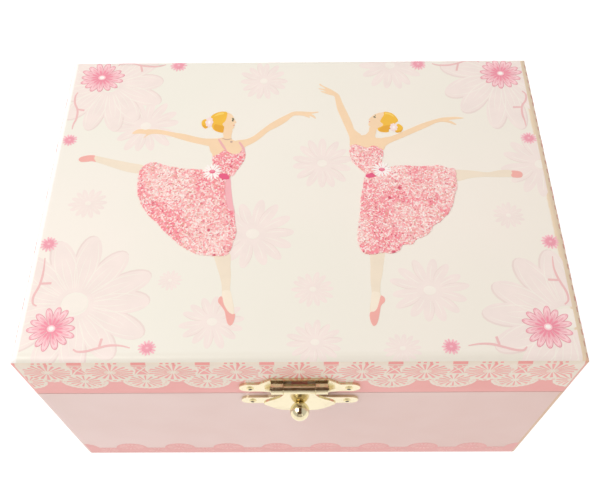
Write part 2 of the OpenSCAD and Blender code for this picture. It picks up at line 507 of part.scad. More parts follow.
module dancer_figure() color([0.98, 0.85, 0.76]) leant() translate([0, 0, -4.8]) difference() {
  union() {
    translate([0, 0, 10.3]) cylinder(r = 1.6, h = 4.2);
    limb([0, 0, 14.3], [0, 0, 22.5], 1.25, 1.55);
    limb([0, 0, 22.4], [0, 0, 31], 1.5, 2.1);
    limb([0.6, 0, 30.6], [6.6, 0.4, 26.4], 1.9, 1.35);
    translate([6.6, 0.4, 26.4]) sphere(r = 1.36);
    limb([6.6, 0.4, 26.4], [1.3, 0.2, 20.6], 1.3, 0.9);
    translate([0, 0, 31.5]) sphere(r = 3.1);
    limb([0, 0, 33], [0, 0, 40.6], 2.3, 3.2);
    translate([0, 0, 40.6]) sphere(r = 3.2);
    translate([0, 0, 42]) cylinder(r = 1.05, h = 4);
    translate([0, 0, 47.6]) sphere(r = 3.0);
    translate([0, 1.9, 50.2]) sphere(r = 1.5);
    for (s = [-1, 1]) {
      limb([s * 2.8, 0, 41.2], [s * 6.6, -0.6, 46.4], 1.0, 0.85);
      translate([s * 6.6, -0.6, 46.4]) sphere(r = 0.86);
      limb([s * 6.6, -0.6, 46.4], [s * 5.4, -1, 52], 0.85, 0.72);
      translate([s * 5.4, -1, 52]) sphere(r = 0.73);
      limb([s * 5.4, -1, 52], [s * 1.5, -1, 56.6], 0.72, 0.6);
    }
  }
  translate([0, 0, 9]) cylinder(r = 0.75, h = 5);
}
module dancer_tutu() color([0.97, 0.72, 0.78]) leant() translate([0, 0, -4.8]) rotate_extrude($fn = 64)
  polygon([[3.5, 32.9], [3.5, 31.2], [tutu_r, 29.4], [tutu_r, 30.6], [7, 32.6]]);

case_front_board();
case_back_board();
case_left_board();
case_right_board();
case_base_board();
case_wrap();
base_felt();
lining_front();
lining_back();
lining_left();
lining_right();
floor_pad();
deck_top();
deck_riser();
compartment_divider();
ring_roll_base();
ring_rolls();
lid_top_board();
lid_front_board();
lid_back_board();
lid_left_board();
lid_right_board();
lid_wrap();
lid_lining();
mirror_frame();
mirror();
hinge_case_leaves();
hinge_lid_leaves();
hinge_pins();
hinge_case_nails();
hinge_lid_nails();
latch_lid_plate();
latch_pin();
latch_hasp();
latch_ball();
latch_case_plate();
latch_lid_nails();
latch_case_nails();
movement_frame();
movement_screws();
spring_barrel();
great_wheel();
mainspring();
winding_arbor();
winding_key();
key_eyelet();
music_cylinder();
drum_arbor();
tuned_comb();
comb_screws();
intermediate_wheel();
governor_worm();
governor_bracket();
stop_rod();
deck_bush();
turntable();
dancer_spring();
dancer_plug();
dancer_figure();
dancer_tutu();
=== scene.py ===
import bpy
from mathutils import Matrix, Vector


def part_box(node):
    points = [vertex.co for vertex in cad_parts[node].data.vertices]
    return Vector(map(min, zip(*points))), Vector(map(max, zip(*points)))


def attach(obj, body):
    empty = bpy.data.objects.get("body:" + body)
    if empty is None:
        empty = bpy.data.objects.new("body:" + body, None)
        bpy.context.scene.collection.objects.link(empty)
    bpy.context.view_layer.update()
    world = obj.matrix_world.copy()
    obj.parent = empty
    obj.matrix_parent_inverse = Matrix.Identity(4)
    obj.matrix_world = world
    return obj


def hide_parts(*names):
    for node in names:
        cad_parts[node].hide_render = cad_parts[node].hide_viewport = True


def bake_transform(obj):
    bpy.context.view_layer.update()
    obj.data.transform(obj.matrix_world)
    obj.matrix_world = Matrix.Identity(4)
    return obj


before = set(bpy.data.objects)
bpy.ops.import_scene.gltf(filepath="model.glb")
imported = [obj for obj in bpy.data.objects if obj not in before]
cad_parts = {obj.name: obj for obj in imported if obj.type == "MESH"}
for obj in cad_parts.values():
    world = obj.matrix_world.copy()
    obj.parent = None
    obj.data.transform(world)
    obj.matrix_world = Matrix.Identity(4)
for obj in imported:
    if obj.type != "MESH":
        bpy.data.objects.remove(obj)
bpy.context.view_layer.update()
import bpy, bmesh, math, random
from mathutils import Vector, Matrix, noise
from mathutils.geometry import tessellate_polygon

MM = 0.001
random.seed(11)

# --- sizes, millimetres, the same as part.scad ---
Z_RIM, Z_LID, Z_TOP = 62.5, 62.8, 85.3
HX, HY = 77.5, 55.5
CY = 42.1
SPRING_Z = 55.3
PZ = 59.7
LEAN = math.radians(84)

# =====================================================================
# node helpers
# =====================================================================
class Tree:
    def __init__(self, name):
        self.m = bpy.data.materials.new(name)
        self.m.use_nodes = True
        self.t = self.m.node_tree
        self.b = self.t.nodes["Principled BSDF"]

    def n(self, kind, **kw):
        node = self.t.nodes.new(kind)
        for k, v in kw.items():
            setattr(node, k, v)
        return node

    def link(self, a, b):
        self.t.links.new(a, b)

    def val(self, sock, v):
        if hasattr(v, "is_linked") or hasattr(v, "links"):
            self.link(v, sock)
        else:
            sock.default_value = v

    def obj(self):
        return self.n("ShaderNodeTexCoord").outputs["Object"]

    def xyz(self, vec=None):
        s = self.n("ShaderNodeSeparateXYZ")
        self.link(vec or self.obj(), s.inputs[0])
        return s.outputs

    def math(self, op, a, b=0.0, c=None, clamp=False):
        m = self.n("ShaderNodeMath", operation=op)
        m.use_clamp = clamp
        self.val(m.inputs[0], a)
        self.val(m.inputs[1], b)
        if c is not None:
            self.val(m.inputs[2], c)
        return m.outputs[0]

    def ramp(self, v, lo, hi, a=0.0, b=1.0):
        r = self.n("ShaderNodeMapRange")
        self.val(r.inputs["Value"], v)
        r.inputs["From Min"].default_value = lo
        r.inputs["From Max"].default_value = hi
        r.inputs["To Min"].default_value = a
        r.inputs["To Max"].default_value = b
        return r.outputs[0]

    def mix(self, f, a, b, blend="MIX"):
        m = self.n("ShaderNodeMix", data_type="RGBA", blend_type=blend)
        self.val(m.inputs["Factor"], f)
        for sock, v in ((m.inputs[6], a), (m.inputs[7], b)):
            if isinstance(v, (tuple, list)):
                sock.default_value = (*v[:3], 1)
            else:
                self.link(v, sock)
        return m.outputs[2]

    def noise(self, scale, detail=3.0, rough=0.5, vec=None, dist=0.0):
        m = self.n("ShaderNodeTexNoise")
        m.inputs["Scale"].default_value = scale
        m.inputs["Detail"].default_value = detail
        m.inputs["Roughness"].default_value = rough
        m.inputs["Distortion"].default_value = dist
        self.link(vec or self.obj(), m.inputs["Vector"])
        return m.outputs["Fac"]

    def voronoi(self, scale, feature="F1", out="Distance", vec=None, rand=1.0):
        m = self.n("ShaderNodeTexVoronoi", feature=feature)
        m.inputs["Scale"].default_value = scale
        m.inputs["Randomness"].default_value = rand
        self.link(vec or self.obj(), m.inputs["Vector"])
        return m.outputs[out]

    def wave(self, scale, axis="X", dist=0.0, vec=None, kind="BANDS"):
        m = self.n("ShaderNodeTexWave", wave_type=kind)
        if kind == "BANDS":
            m.bands_direction = axis
        m.inputs["Scale"].default_value = scale
        m.inputs["Distortion"].default_value = dist
        self.link(vec or self.obj(), m.inputs["Vector"])
        return m.outputs["Fac"]

    def bump(self, h, strength=0.2, distance=0.0002, chain=None):
        m = self.n("ShaderNodeBump")
        m.inputs["Strength"].default_value = strength
        m.inputs["Distance"].default_value = distance
        self.link(h, m.inputs["Height"])
        if chain is not None:
            self.link(chain, m.inputs["Normal"])
        return m.outputs[0]

    def set(self, **kw):
        for k, v in kw.items():
            sock = self.b.inputs[k.replace("_", " ")]
            if isinstance(v, (tuple, list)) and len(v) == 3:
                v = (*v, 1)
            self.val(sock, v)
        return self


def srgb(h):
    h = h.lstrip("#")
    out = []
    for i in (0, 2, 4):
        c = int(h[i:i + 2], 16) / 255
        out.append(c / 12.92 if c <= 0.04045 else ((c + 0.055) / 1.055) ** 2.4)
    return tuple(out)


def shade(c, k):
    return tuple(min(1.0, x * k) for x in c)


MATS = {}


def simple(name, col, rough=0.5, metal=0.0, vary=0.06, scale=300, bump=0.08, bscale=1500, bdist=0.0001, coat=0.0, sheen=0.0):
    if name in MATS:
        return MATS[name]
    t = Tree(name)
    n1 = t.noise(scale, 4)
    t.set(Base_Color=t.mix(t.ramp(n1, 0.35, 0.65), shade(col, 1 - vary), shade(col, 1 + vary)),
          Roughness=t.ramp(t.noise(scale * 0.6, 3), 0.3, 0.7, max(0.02, rough - 0.06), min(1, rough + 0.06)),
          Metallic=metal)
    t.b.inputs["Coat Weight"].default_value = coat
    t.b.inputs["Coat Roughness"].default_value = 0.15
    t.b.inputs["Sheen Weight"].default_value = sheen
    t.set(Normal=t.bump(t.noise(bscale, 3), bump, bdist))
    MATS[name] = t.m
    return t.m


def ink(name, col, rough=0.42, vary=0.02):
    """printed ink on satin paper: the paper's fine tooth and a faint mottle"""
    if name in MATS:
        return MATS[name]
    t = Tree(name)
    n1 = t.noise(220, 3)
    t.set(Base_Color=t.mix(t.ramp(n1, 0.3, 0.7), shade(col, 1 - vary), shade(col, 1 + vary)), Roughness=rough)
    t.set(Normal=t.bump(t.noise(2600, 2), 0.12, 0.00004))
    MATS[name] = t.m
    return t.m


# =====================================================================
# materials
# =====================================================================
IVORY = srgb("F1ECE2")
CREAM = srgb("EFE6D8")
SALMON = srgb("EE9F99")
PALE = srgb("E9CEC7")


def paper_lid():
    t = Tree("printed_paper_ivory")
    p = t.xyz()
    x, y, z = p[0], p[1], p[2]
    ax = t.math("ABSOLUTE", x)
    ay = t.math("ABSOLUTE", y)
    # the top: ivory with a soft green-grey cloud on the left and a warmer right
    cloud = t.ramp(t.noise(14, 2, 0.45), 0.35, 0.65)
    top = t.mix(cloud, srgb("EEEBDF"), srgb("F3ECE2"))
    top = t.mix(t.ramp(x, -0.075, 0.075, 0.0, 0.35), top, srgb("F0E5D8"))
    # the rounded strips are painted: the front one a little greyer (painted shade), the right one tan (painted shade),
    # the left one near-white (painted highlight), as the light comes from the left
    ragged = t.math("MULTIPLY", t.math("SUBTRACT", t.noise(700, 4, 0.6), 0.5), 0.0006)
    xr = t.math("ADD", x, ragged)
    yr = t.math("ADD", y, ragged)
    # painted shade: the front rounded strip greyer
    top = t.mix(t.ramp(yr, -0.0529, -0.0521, 0.3, 0.0), top, srgb("E4DDCE"))
    # painted shade: the right rounded strip tan, darkest at the outer edge
    top = t.mix(t.ramp(xr, 0.07445, 0.07490, 0.0, 0.9), top, srgb("E8D0B0"))
    top = t.mix(t.ramp(xr, 0.07630, 0.07690, 0.0, 0.5), top, srgb("D6AE88"))
    # painted highlight: the left rounded strip near-white
    top = t.mix(t.ramp(xr, -0.07575, -0.07525, 0.9, 0.0), top, srgb("FBFAF7"))
    # tops of the side lace, seen as dashes along the outer edge
    dash = t.math("GREATER_THAN", t.math("SINE", t.math("MULTIPLY", y, 2 * math.pi / 0.0034)), 0.1)
    outer = t.math("MULTIPLY", t.ramp(ax, 0.07700, 0.07715), dash)
    top = t.mix(t.math("MULTIPLY", outer, 0.55), top, srgb("E5989A"))

    # the sides: salmon ground
    side = t.mix(t.ramp(t.noise(30, 2), 0.35, 0.65), srgb("EFA59E"), srgb("EC9D97"))
    # painted shade: the sides darker towards the right, away from the key light
    side = t.mix(t.ramp(x, -0.0775, 0.0775, 0.0, 0.4), side, srgb("E58E84"))
    side_mask = t.ramp(z, (Z_TOP - 0.85) * MM, (Z_TOP - 0.78) * MM, 1.0, 0.0)
    col = t.mix(side_mask, top, side)
    # the right edge is painted tan (painted shade), with the lace showing through as short dashes
    edge = t.math("MULTIPLY", t.ramp(x, 0.07640, 0.07655), t.ramp(z, (Z_TOP - 2.2) * MM, (Z_TOP - 2.0) * MM))
    col = t.mix(t.math("MULTIPLY", edge, 0.9), col, t.mix(dash, srgb("E6CCAC"), srgb("C88468")))
    # painted shade: the front-right corner tan
    tan = t.math("MULTIPLY", t.ramp(x, 0.0761, 0.0763), t.ramp(y, -0.0544, -0.0540, 1.0, 0.0))
    col = t.mix(t.math("MULTIPLY", tan, 0.6), col, srgb("D9A184"))
    # turned-in edge at the bottom of the rim
    low = t.ramp(z, (Z_LID + 0.15) * MM, (Z_LID + 0.55) * MM, 1.0, 0.0)
    col = t.mix(t.math("MULTIPLY", low, 0.45), col, srgb("E9B7AF"))
    t.set(Base_Color=col, Roughness=t.ramp(t.noise(90, 3), 0.3, 0.7, 0.34, 0.44))
    t.b.inputs["Coat Weight"].default_value = 0.15
    t.b.inputs["Coat Roughness"].default_value = 0.3
    b1 = t.bump(t.noise(2400, 3), 0.12, 0.00005)
    t.set(Normal=t.bump(t.noise(45, 2), 0.12, 0.0004, b1))
    return t.m


def paper_case():
    t = Tree("printed_paper_pink")
    p = t.xyz()
    x, y, z = p[0], p[1], p[2]
    n = t.ramp(t.noise(22, 2, 0.4), 0.35, 0.65)
    col = t.mix(n, srgb("EACFC8"), srgb("E5C8C0"))
    col = t.mix(t.ramp(z, 0.002, 0.05, 0.35, 0.0), col, srgb("E9C4BC"))
    # painted shade: darker towards the right, away from the key light
    col = t.mix(t.ramp(x, -0.0775, 0.0775, 0.0, 0.5), col, srgb("D8AFA2"))
    ax = t.math("ABSOLUTE", x)
    ay = t.math("ABSOLUTE", y)
    # painted shade: the front-right corner tan
    tan = t.math("MULTIPLY", t.ramp(x, 0.07575, 0.0759), t.ramp(y, -0.0544, -0.0540, 1.0, 0.0))
    col = t.mix(t.math("MULTIPLY", tan, 0.85), col, srgb("D8AE84"))
    corner = t.math("MULTIPLY", t.ramp(ax, 0.0766, 0.0774), t.ramp(ay, 0.0545, 0.0553))
    worn = t.ramp(t.noise(320, 5, 0.7), 0.45, 0.6)
    col = t.mix(t.math("MULTIPLY", corner, t.math("MULTIPLY", worn, 0.6)), col, srgb("D9B690"))
    rim = t.ramp(z, (Z_RIM - 0.5) * MM, (Z_RIM - 0.1) * MM)
    col = t.mix(t.math("MULTIPLY", rim, 0.4), col, srgb("DDA9A2"))
    t.set(Base_Color=col, Roughness=t.ramp(t.noise(90, 3), 0.3, 0.7, 0.36, 0.46))
    t.b.inputs["Coat Weight"].default_value = 0.12
    t.b.inputs["Coat Roughness"].default_value = 0.3
    b1 = t.bump(t.noise(2400, 3), 0.12, 0.00005)
    t.set(Normal=t.bump(t.noise(45, 2), 0.12, 0.0004, b1))
    return t.m


def satin(name, col, dark, weave=2600):
    """satin: fine warp threads, soft folds, a sheen; the fold valleys are painted darker (painted shade) and the thread
    crests lighter (painted highlight)
    """
    t = Tree(name)
    w1 = t.wave(weave, "X", 0.6)
    w2 = t.wave(weave * 0.8, "Z", 0.6)
    fold = t.noise(38, 3, 0.5)
    # painted shade in the fold valleys and painted highlight on the thread crests: the colour follows the same noise as
    # the bump
    base = t.mix(t.ramp(fold, 0.3, 0.7), dark, col)
    t.set(Base_Color=t.mix(t.math("MULTIPLY", w1, 0.25), base, shade(col, 1.08)), Roughness=0.38)
    t.b.inputs["Sheen Weight"].default_value = 0.5
    t.b.inputs["Sheen Roughness"].default_value = 0.35
    t.b.inputs["Anisotropic"].default_value = 0.4
    b1 = t.bump(t.math("ADD", w1, w2), 0.12, 0.00004)
    t.set(Normal=t.bump(fold, 0.15, 0.0008, b1))
    return t.m


def velvet(name, col, dark):
    t = Tree(name)
    pile = t.noise(4200, 3, 0.7)
    nap = t.noise(55, 4, 0.55)
    t.set(Base_Color=t.mix(t.ramp(nap, 0.3, 0.7), dark, col), Roughness=0.85)
    t.b.inputs["Sheen Weight"].default_value = 0.9
    t.b.inputs["Sheen Roughness"].default_value = 0.4
    t.set(Normal=t.bump(pile, 0.4, 0.00012))
    return t.m


def brass(name, col, rough=0.16, tarnish=0.25):
    t = Tree(name)
    n1 = t.noise(160, 5, 0.6)
    n2 = t.noise(700, 4, 0.7)
    base = t.mix(t.math("MULTIPLY", t.ramp(n1, 0.5, 0.75), tarnish), col, srgb("B08A4E"))
    t.set(Base_Color=base, Metallic=1.0, Roughness=t.ramp(n2, 0.3, 0.7, rough - 0.05, rough + 0.08))
    t.set(Normal=t.bump(t.noise(420, 3), 0.08, 0.0002))
    return t.m


def metal(name, col, rough=0.3, brush="Z", strength=0.15):
    t = Tree(name)
    m = t.n("ShaderNodeMapping")
    s = {"X": (30, 1800, 1800), "Y": (1800, 30, 1800), "Z": (1800, 1800, 30)}[brush]
    m.inputs["Scale"].default_value = s
    t.link(t.obj(), m.inputs["Vector"])
    grain = t.noise(1.0, 4, 0.6, m.outputs[0])
    n2 = t.noise(120, 4)
    t.set(Base_Color=t.mix(t.ramp(n2, 0.35, 0.7), shade(col, 0.88), shade(col, 1.08)), Metallic=1.0,
          Roughness=t.ramp(grain, 0.3, 0.7, rough - 0.08, rough + 0.1))
    t.set(Normal=t.bump(grain, strength, 0.00006))
    return t.m


def fibreboard():
    t = Tree("fibreboard")
    f = t.noise(900, 6, 0.75)
    c = t.noise(160, 4, 0.6)
    base = t.mix(t.ramp(f, 0.35, 0.65), srgb("A9865C"), srgb("C9A87C"))
    t.set(Base_Color=t.mix(t.ramp(c, 0.4, 0.7, 0, 0.4), base, srgb("8F6E48")), Roughness=0.85)
    t.set(Normal=t.bump(f, 0.4, 0.0002))
    return t.m


def felt():
    t = Tree("rose_felt")
    f = t.noise(1500, 6, 0.8, dist=1.5)
    t.set(Base_Color=t.mix(t.ramp(f, 0.3, 0.7), srgb("B4606E"), srgb("D08A94")), Roughness=0.95)
    t.b.inputs["Sheen Weight"].default_value = 0.5
    t.set(Normal=t.bump(f, 0.6, 0.0003))
    return t.m


def mirror_mat():
    t = Tree("mirror_glass")
    n = t.noise(120, 3)
    t.set(Base_Color=t.mix(t.ramp(n, 0.6, 0.8), srgb("E6ECEE"), srgb("DCE4E6")), Metallic=1.0, Roughness=t.ramp(n, 0.3, 0.8, 0.015, 0.04))
    return t.m


def plastic(name, col, rough=0.3, coat=0.3):
    return simple(name, col, rough, 0, 0.03, 90, 0.06, 700, 0.0001, coat)


def tulle_mat(name, col, hole=0.38, scale=1700):
    """fine hexagonal net"""
    t = Tree(name)
    v = t.voronoi(scale, "DISTANCE_TO_EDGE", "Distance", rand=0.25)
    thread = t.ramp(v, 0.06, 0.14, 1.0, hole)
    n = t.noise(90, 3)
    t.set(Base_Color=t.mix(t.ramp(n, 0.35, 0.7), shade(col, 0.93), shade(col, 1.04)), Roughness=0.6, Alpha=thread)
    t.b.inputs["Sheen Weight"].default_value = 0.5
    t.set(Normal=t.bump(v, 0.3, 0.0001))
    return t.m


def glitter_mat():
    """mixed fine flakes: white, pale pink, salmon and a few dark red ones, each with its own shine"""
    t = Tree("print_glitter")
    cell = t.n("ShaderNodeTexVoronoi", feature="F1")
    cell.inputs["Scale"].default_value = 2300
    t.link(t.obj(), cell.inputs["Vector"])
    sep = t.n("ShaderNodeSeparateXYZ")
    t.link(cell.outputs["Color"], sep.inputs[0])
    # the printed pink under the flakes, in soft swirls
    swirl = t.noise(260, 2, 0.5, dist=1.6)
    blot = t.noise(75, 2, 0.5)
    base = t.mix(t.ramp(swirl, 0.40, 0.62), srgb("F9B4B6"), srgb("FBD8D3"))
    base = t.mix(t.ramp(blot, 0.46, 0.60, 0.0, 0.9), base, srgb("F77F92"))
    cr = t.n("ShaderNodeValToRGB")
    e = cr.color_ramp
    e.interpolation = "CONSTANT"
    stops = [(0.0, "FFF9F2"), (0.20, "FCDDD3"), (0.36, "F7AEAA"), (0.50, "F68A94"), (0.60, "FFF3EA"), (0.76, "F4A298"), (0.86, "F06F80"), (0.93, "D6AA8C"), (0.965, "CC4F66")]
    e.elements[0].position, e.elements[1].position = 0.0, 0.20
    e.elements[0].color = (*srgb(stops[0][1]), 1)
    e.elements[1].color = (*srgb(stops[1][1]), 1)
    for pos, h in stops[2:]:
        k = e.elements.new(pos)
        k.color = (*srgb(h), 1)
    t.link(sep.outputs[0], cr.inputs[0])
    col = t.mix(t.ramp(sep.outputs[1], 0.30, 0.34, 0.15, 0.9), base, cr.outputs[0])
    col = t.mix(0.22, col, base)
    spot = t.n("ShaderNodeTexVoronoi", feature="F1")
    spot.inputs["Scale"].default_value = 210
    t.link(t.obj(), spot.inputs["Vector"])
    pick = t.n("ShaderNodeSeparateXYZ")
    t.link(spot.outputs["Color"], pick.inputs[0])
    ring = t.math("MULTIPLY", t.ramp(spot.outputs["Distance"], 0.07, 0.16, 0.9, 0.0), t.ramp(pick.outputs[0], 0.35, 0.38))
    col = t.mix(ring, col, srgb("D23A5C"))
    t.set(Base_Color=col, Metallic=t.ramp(sep.outputs[1], 0.80, 0.95, 0.0, 0.4), Roughness=t.ramp(sep.outputs[2], 0.0, 1.0, 0.15, 0.55))
    h = t.math("ADD", t.math("MULTIPLY", sep.outputs[2], 0.8), t.math("MULTIPLY", t.noise(2600, 2), 0.6))
    t.set(Normal=t.bump(h, 0.7, 0.0002))
    return t.m


M = {
    "fibreboard": fibreboard(),
    "printed_paper_pink": paper_case(),
    "printed_paper_ivory": paper_lid(),
    "rose_felt": felt(),
    "pink_satin": satin("pink_satin", srgb("F4B7C2"), srgb("E39AA8")),
    "quilted_satin": satin("quilted_satin", srgb("F6BFC9"), srgb("E8A2B0")),
    "velvet": velvet("velvet", srgb("D4708A"), srgb("B4516C")),
    "mirror_glass": mirror_mat(),
    "pale_brass": brass("pale_brass", srgb("E9DDB9")),
    "zinc_casting": metal("zinc_casting", srgb("B9BABD"), 0.42, "X", 0.25),
    "steel_screws": metal("steel_screws", srgb("A9ABB0"), 0.28, "X"),
    "brass_wheels": brass("brass_wheels", srgb("DDBD73"), 0.26, 0.3),
    "spring_steel": metal("spring_steel", srgb("C3C6CC"), 0.22, "Z"),
    "nylon": plastic("nylon", srgb("ECE9DF"), 0.4, 0.1),
    "white_plastic": plastic("white_plastic", srgb("F6F1EE"), 0.25, 0.4),
    "painted_doll": plastic("painted_doll", srgb("F6D3BF"), 0.32, 0.35),
    "tulle": tulle_mat("tulle", srgb("F8B9C9")),
}

# every CAD node takes the finish of its slot
SLOTS = {
    "fibreboard": "case_front_board case_back_board case_left_board case_right_board case_base_board lid_top_board lid_front_board lid_back_board lid_left_board lid_right_board",
    "printed_paper_pink": "case_wrap", "printed_paper_ivory": "lid_wrap", "rose_felt": "base_felt",
    "pink_satin": "lining_front lining_back lining_left lining_right deck_riser deck_top compartment_divider ring_roll_base lid_lining mirror_frame",
    "quilted_satin": "floor_pad", "velvet": "ring_rolls", "mirror_glass": "mirror",
    "pale_brass": "hinge_case_leaves hinge_lid_leaves hinge_pins hinge_case_nails hinge_lid_nails latch_lid_plate latch_pin latch_hasp latch_ball latch_case_plate latch_lid_nails latch_case_nails winding_key key_eyelet",
    "zinc_casting": "movement_frame governor_bracket", "steel_screws": "movement_screws comb_screws",
    "brass_wheels": "spring_barrel great_wheel music_cylinder intermediate_wheel",
    "spring_steel": "mainspring winding_arbor drum_arbor tuned_comb stop_rod dancer_spring",
    "nylon": "governor_worm deck_bush", "white_plastic": "turntable dancer_plug", "painted_doll": "dancer_figure", "tulle": "dancer_tutu",
}
NODE_SLOT = {n: s for s, names in SLOTS.items() for n in names.split()}


def nail_mat():
    """a small domed head, dark in the middle: a painted reflection of the dark room in front"""
    t = Tree("nail_brass")
    p = t.xyz()
    dx = t.math("SUBTRACT", t.math("ABSOLUTE", p[0]), 0.0140)
    dz = t.math("SUBTRACT", t.math("ABSOLUTE", t.math("SUBTRACT", p[2], 0.06315)), 0.00505)
    d = t.math("SQRT", t.math("ADD", t.math("MULTIPLY", dx, dx), t.math("MULTIPLY", dz, dz)))
    # painted reflection: the dark middle of each head
    dark = t.ramp(d, 0.00050, 0.00062, 1.0, 0.0)
    t.set(Base_Color=t.mix(dark, srgb("E4D3A2"), srgb("3A2210")), Metallic=t.ramp(dark, 0, 1, 1.0, 0.5), Roughness=t.ramp(t.noise(700, 4), 0.3, 0.7, 0.2, 0.4))
    t.set(Normal=t.bump(t.noise(420, 3), 0.08, 0.0002))
    return t.m


M["nail_brass"] = nail_mat()


CAD = {n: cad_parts[n] for n in NODE_SLOT}
for n, o in CAD.items():
    o.data.materials.clear()
    o.data.materials.append(M["nail_brass"] if n in ("latch_lid_nails", "latch_case_nails") else M[NODE_SLOT[n]])


def bevel(node, width, seg=3, angle=35):
    o = CAD.get(node)
    if o is None:
        return
    b = o.modifiers.new("edge", "BEVEL")
    b.width = width * MM
    b.segments = seg
    b.limit_method = "ANGLE"
    b.angle_limit = math.radians(angle)
    b.harden_normals = False


for n in "case_front_board case_back_board case_left_board case_right_board case_base_board lid_front_board lid_back_board lid_left_board lid_right_board".split():
    bevel(n, 0.1, 2)
for n in "compartment_divider ring_roll_base deck_top".split():
    bevel(n, 0.45, 3)
for n in "mirror".split():
    bevel(n, 0.5, 2)
for n in "mirror_frame".split():
    bevel(n, 0.6, 3)
for n in "latch_lid_plate latch_hasp latch_case_plate hinge_case_leaves hinge_lid_leaves winding_key key_eyelet movement_frame".split():
    bevel(n, 0.16, 3)
for n in "turntable deck_bush great_wheel spring_barrel governor_bracket dancer_plug".split():
    bevel(n, 0.08, 2)

# =====================================================================
# mesh helpers
# =====================================================================
def new_obj(name, verts, faces, mat=None, smooth=False):
    me = bpy.data.meshes.new(name)
    me.from_pydata([tuple(v) for v in verts], [], faces)
    me.validate()
    me.update()
    o = bpy.data.objects.new(name, me)
    bpy.context.scene.collection.objects.link(o)
    if mat is not None:
        me.materials.append(mat)
    if smooth:
        me.polygons.foreach_set("use_smooth", [True] * len(me.polygons))
    return o


def spline(pts, n=6, closed=True):
    """Catmull-Rom curve through the points"""
    out = []
    m = len(pts)
    rng = range(m) if closed else range(m - 1)
    for i in rng:
        if closed:
            p0, p1, p2, p3 = pts[i - 1], pts[i], pts[(i + 1) % m], pts[(i + 2) % m]
        else:
            p0, p1, p2, p3 = pts[max(0, i - 1)], pts[i], pts[i + 1], pts[min(m - 1, i + 2)]
        for k in range(n):
            t = k / n
            out.append(tuple(0.5 * ((2 * p1[a]) + (-p0[a] + p2[a]) * t + (2 * p0[a] - 5 * p1[a] + 4 * p2[a] - p3[a]) * t * t + (-p0[a] + 3 * p1[a] - 3 * p2[a] + p3[a]) * t ** 3) for a in (0, 1)))
    if not closed:
        out.append(tuple(pts[-1]))
    return out


def cut_to(pts, ex, ey):
    """the part of a polygon inside +-ex, +-ey"""
    for axis, sign, lim in ((0, 1, ex), (0, -1, ex), (1, 1, ey), (1, -1, ey)):
        out = []
        for i in range(len(pts)):
            a, b = pts[i - 1], pts[i]
            ia, ib = a[axis] * sign <= lim, b[axis] * sign <= lim
            if ia != ib:
                k = (lim * sign - a[axis]) / (b[axis] - a[axis])
                out.append((a[0] + (b[0] - a[0]) * k, a[1] + (b[1] - a[1]) * k))
            if ib:
                out.append(b)
        pts = out
        if not pts:
            break
    clean = []
    for q in pts:
        if not clean or math.hypot(q[0] - clean[-1][0], q[1] - clean[-1][1]) > 0.002:
            clean.append(q)
    return clean


def band_of(pts, y0, y1, ex):
    """the part of a polygon with y from y0 to y1"""
    mid, half = (y0 + y1) / 2, (y1 - y0) / 2
    return [(x, y + mid) for x, y in cut_to([(x, y - mid) for x, y in pts], ex, half)]


class Plate:
    """collects thin closed pieces of one colour; (u, v) on a plane, w is the height over it"""
    def __init__(self, name, mat, body, place):
        self.name, self.mat, self.body, self.place = name, mat, body, place
        self.limit = None
        self.count = 0
        self.v, self.f = [], []

    def prism(self, pts, top, bottom=-0.12):
        if self.limit:
            ex, ey = self.limit
            for side in (-1, 1):          # goes on over the rounded front and back edges, in strips
                if max(side * q[1] for q in pts) > ey:
                    for k in range(4):
                        a, b = side * (ey + 0.46 * k), side * (ey + 0.46 * (k + 1))
                        part = band_of(pts, min(a, b), max(a, b), ex)
                        if len(part) > 2:
                            self.solid(part, top, bottom)
            pts = cut_to(pts, ex, ey)
            if len(pts) < 3:
                return
        self.solid(pts, top, bottom)

    def solid(self, pts, top, bottom):
        self.count += 1          # no two overlapping pieces share a height
        top += 0.0003 * (self.count % 43)
        area = sum(pts[i - 1][0] * pts[i][1] - pts[i][0] * pts[i - 1][1] for i in range(len(pts)))
        if area < 0:
            pts = pts[::-1]
        n = len(pts)
        base = len(self.v)
        self.v += [self.place(u, v, bottom) for u, v in pts] + [self.place(u, v, top) for u, v in pts]
        tris = tessellate_polygon([[Vector((u, v, 0)) for u, v in pts]])
        for a, b, c in tris:
            s = (pts[b][0] - pts[a][0]) * (pts[c][1] - pts[a][1]) - (pts[c][0] - pts[a][0]) * (pts[b][1] - pts[a][1])
            if s < 0:
                b, c = c, b
            self.f.append((base + n + a, base + n + b, base + n + c))
            self.f.append((base + c, base + b, base + a))
        for i in range(n):
            j = (i + 1) % n
            self.f.append((base + i, base + j, base + n + j, base + n + i))

    def stroke(self, pts, width, top, taper=(0.25, 0.25)):
        n = len(pts)
        left, right = [], []
        for i in range(n):
            a, b = pts[max(0, i - 1)], pts[min(n - 1, i + 1)]
            dx, dy = b[0] - a[0], b[1] - a[1]
            l = math.hypot(dx, dy) or 1
            t = i / (n - 1)
            k = 1.0
            if t < 0.3:
                k = taper[0] + (1 - taper[0]) * (t / 0.3)
            elif t > 0.7:
                k = taper[1] + (1 - taper[1]) * ((1 - t) / 0.3)
            w = width * k / 2
            left.append((pts[i][0] - dy / l * w, pts[i][1] + dx / l * w))
            right.append((pts[i][0] + dy / l * w, pts[i][1] - dx / l * w))
        self.prism(left + right[::-1], top)

    def build(self):
        if not self.v:
            return None
        o = new_obj(self.name, [(x * MM, y * MM, z * MM) for x, y, z in self.v], self.f, self.mat)
        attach(o, self.body)
        return o


def on_lid(u, v, w):
    over = abs(v) - (HY - 2.2)
    if over <= 0:
        return (u, v, Z_TOP + w)
    f = over / 2.2
    return (u, math.copysign((HY - 2.2) + (2.2 + w) * math.sin(f), v), Z_TOP - 2.2 + (2.2 + w) * math.cos(f))


def level(k):
    return 0.012 + 0.014 * k


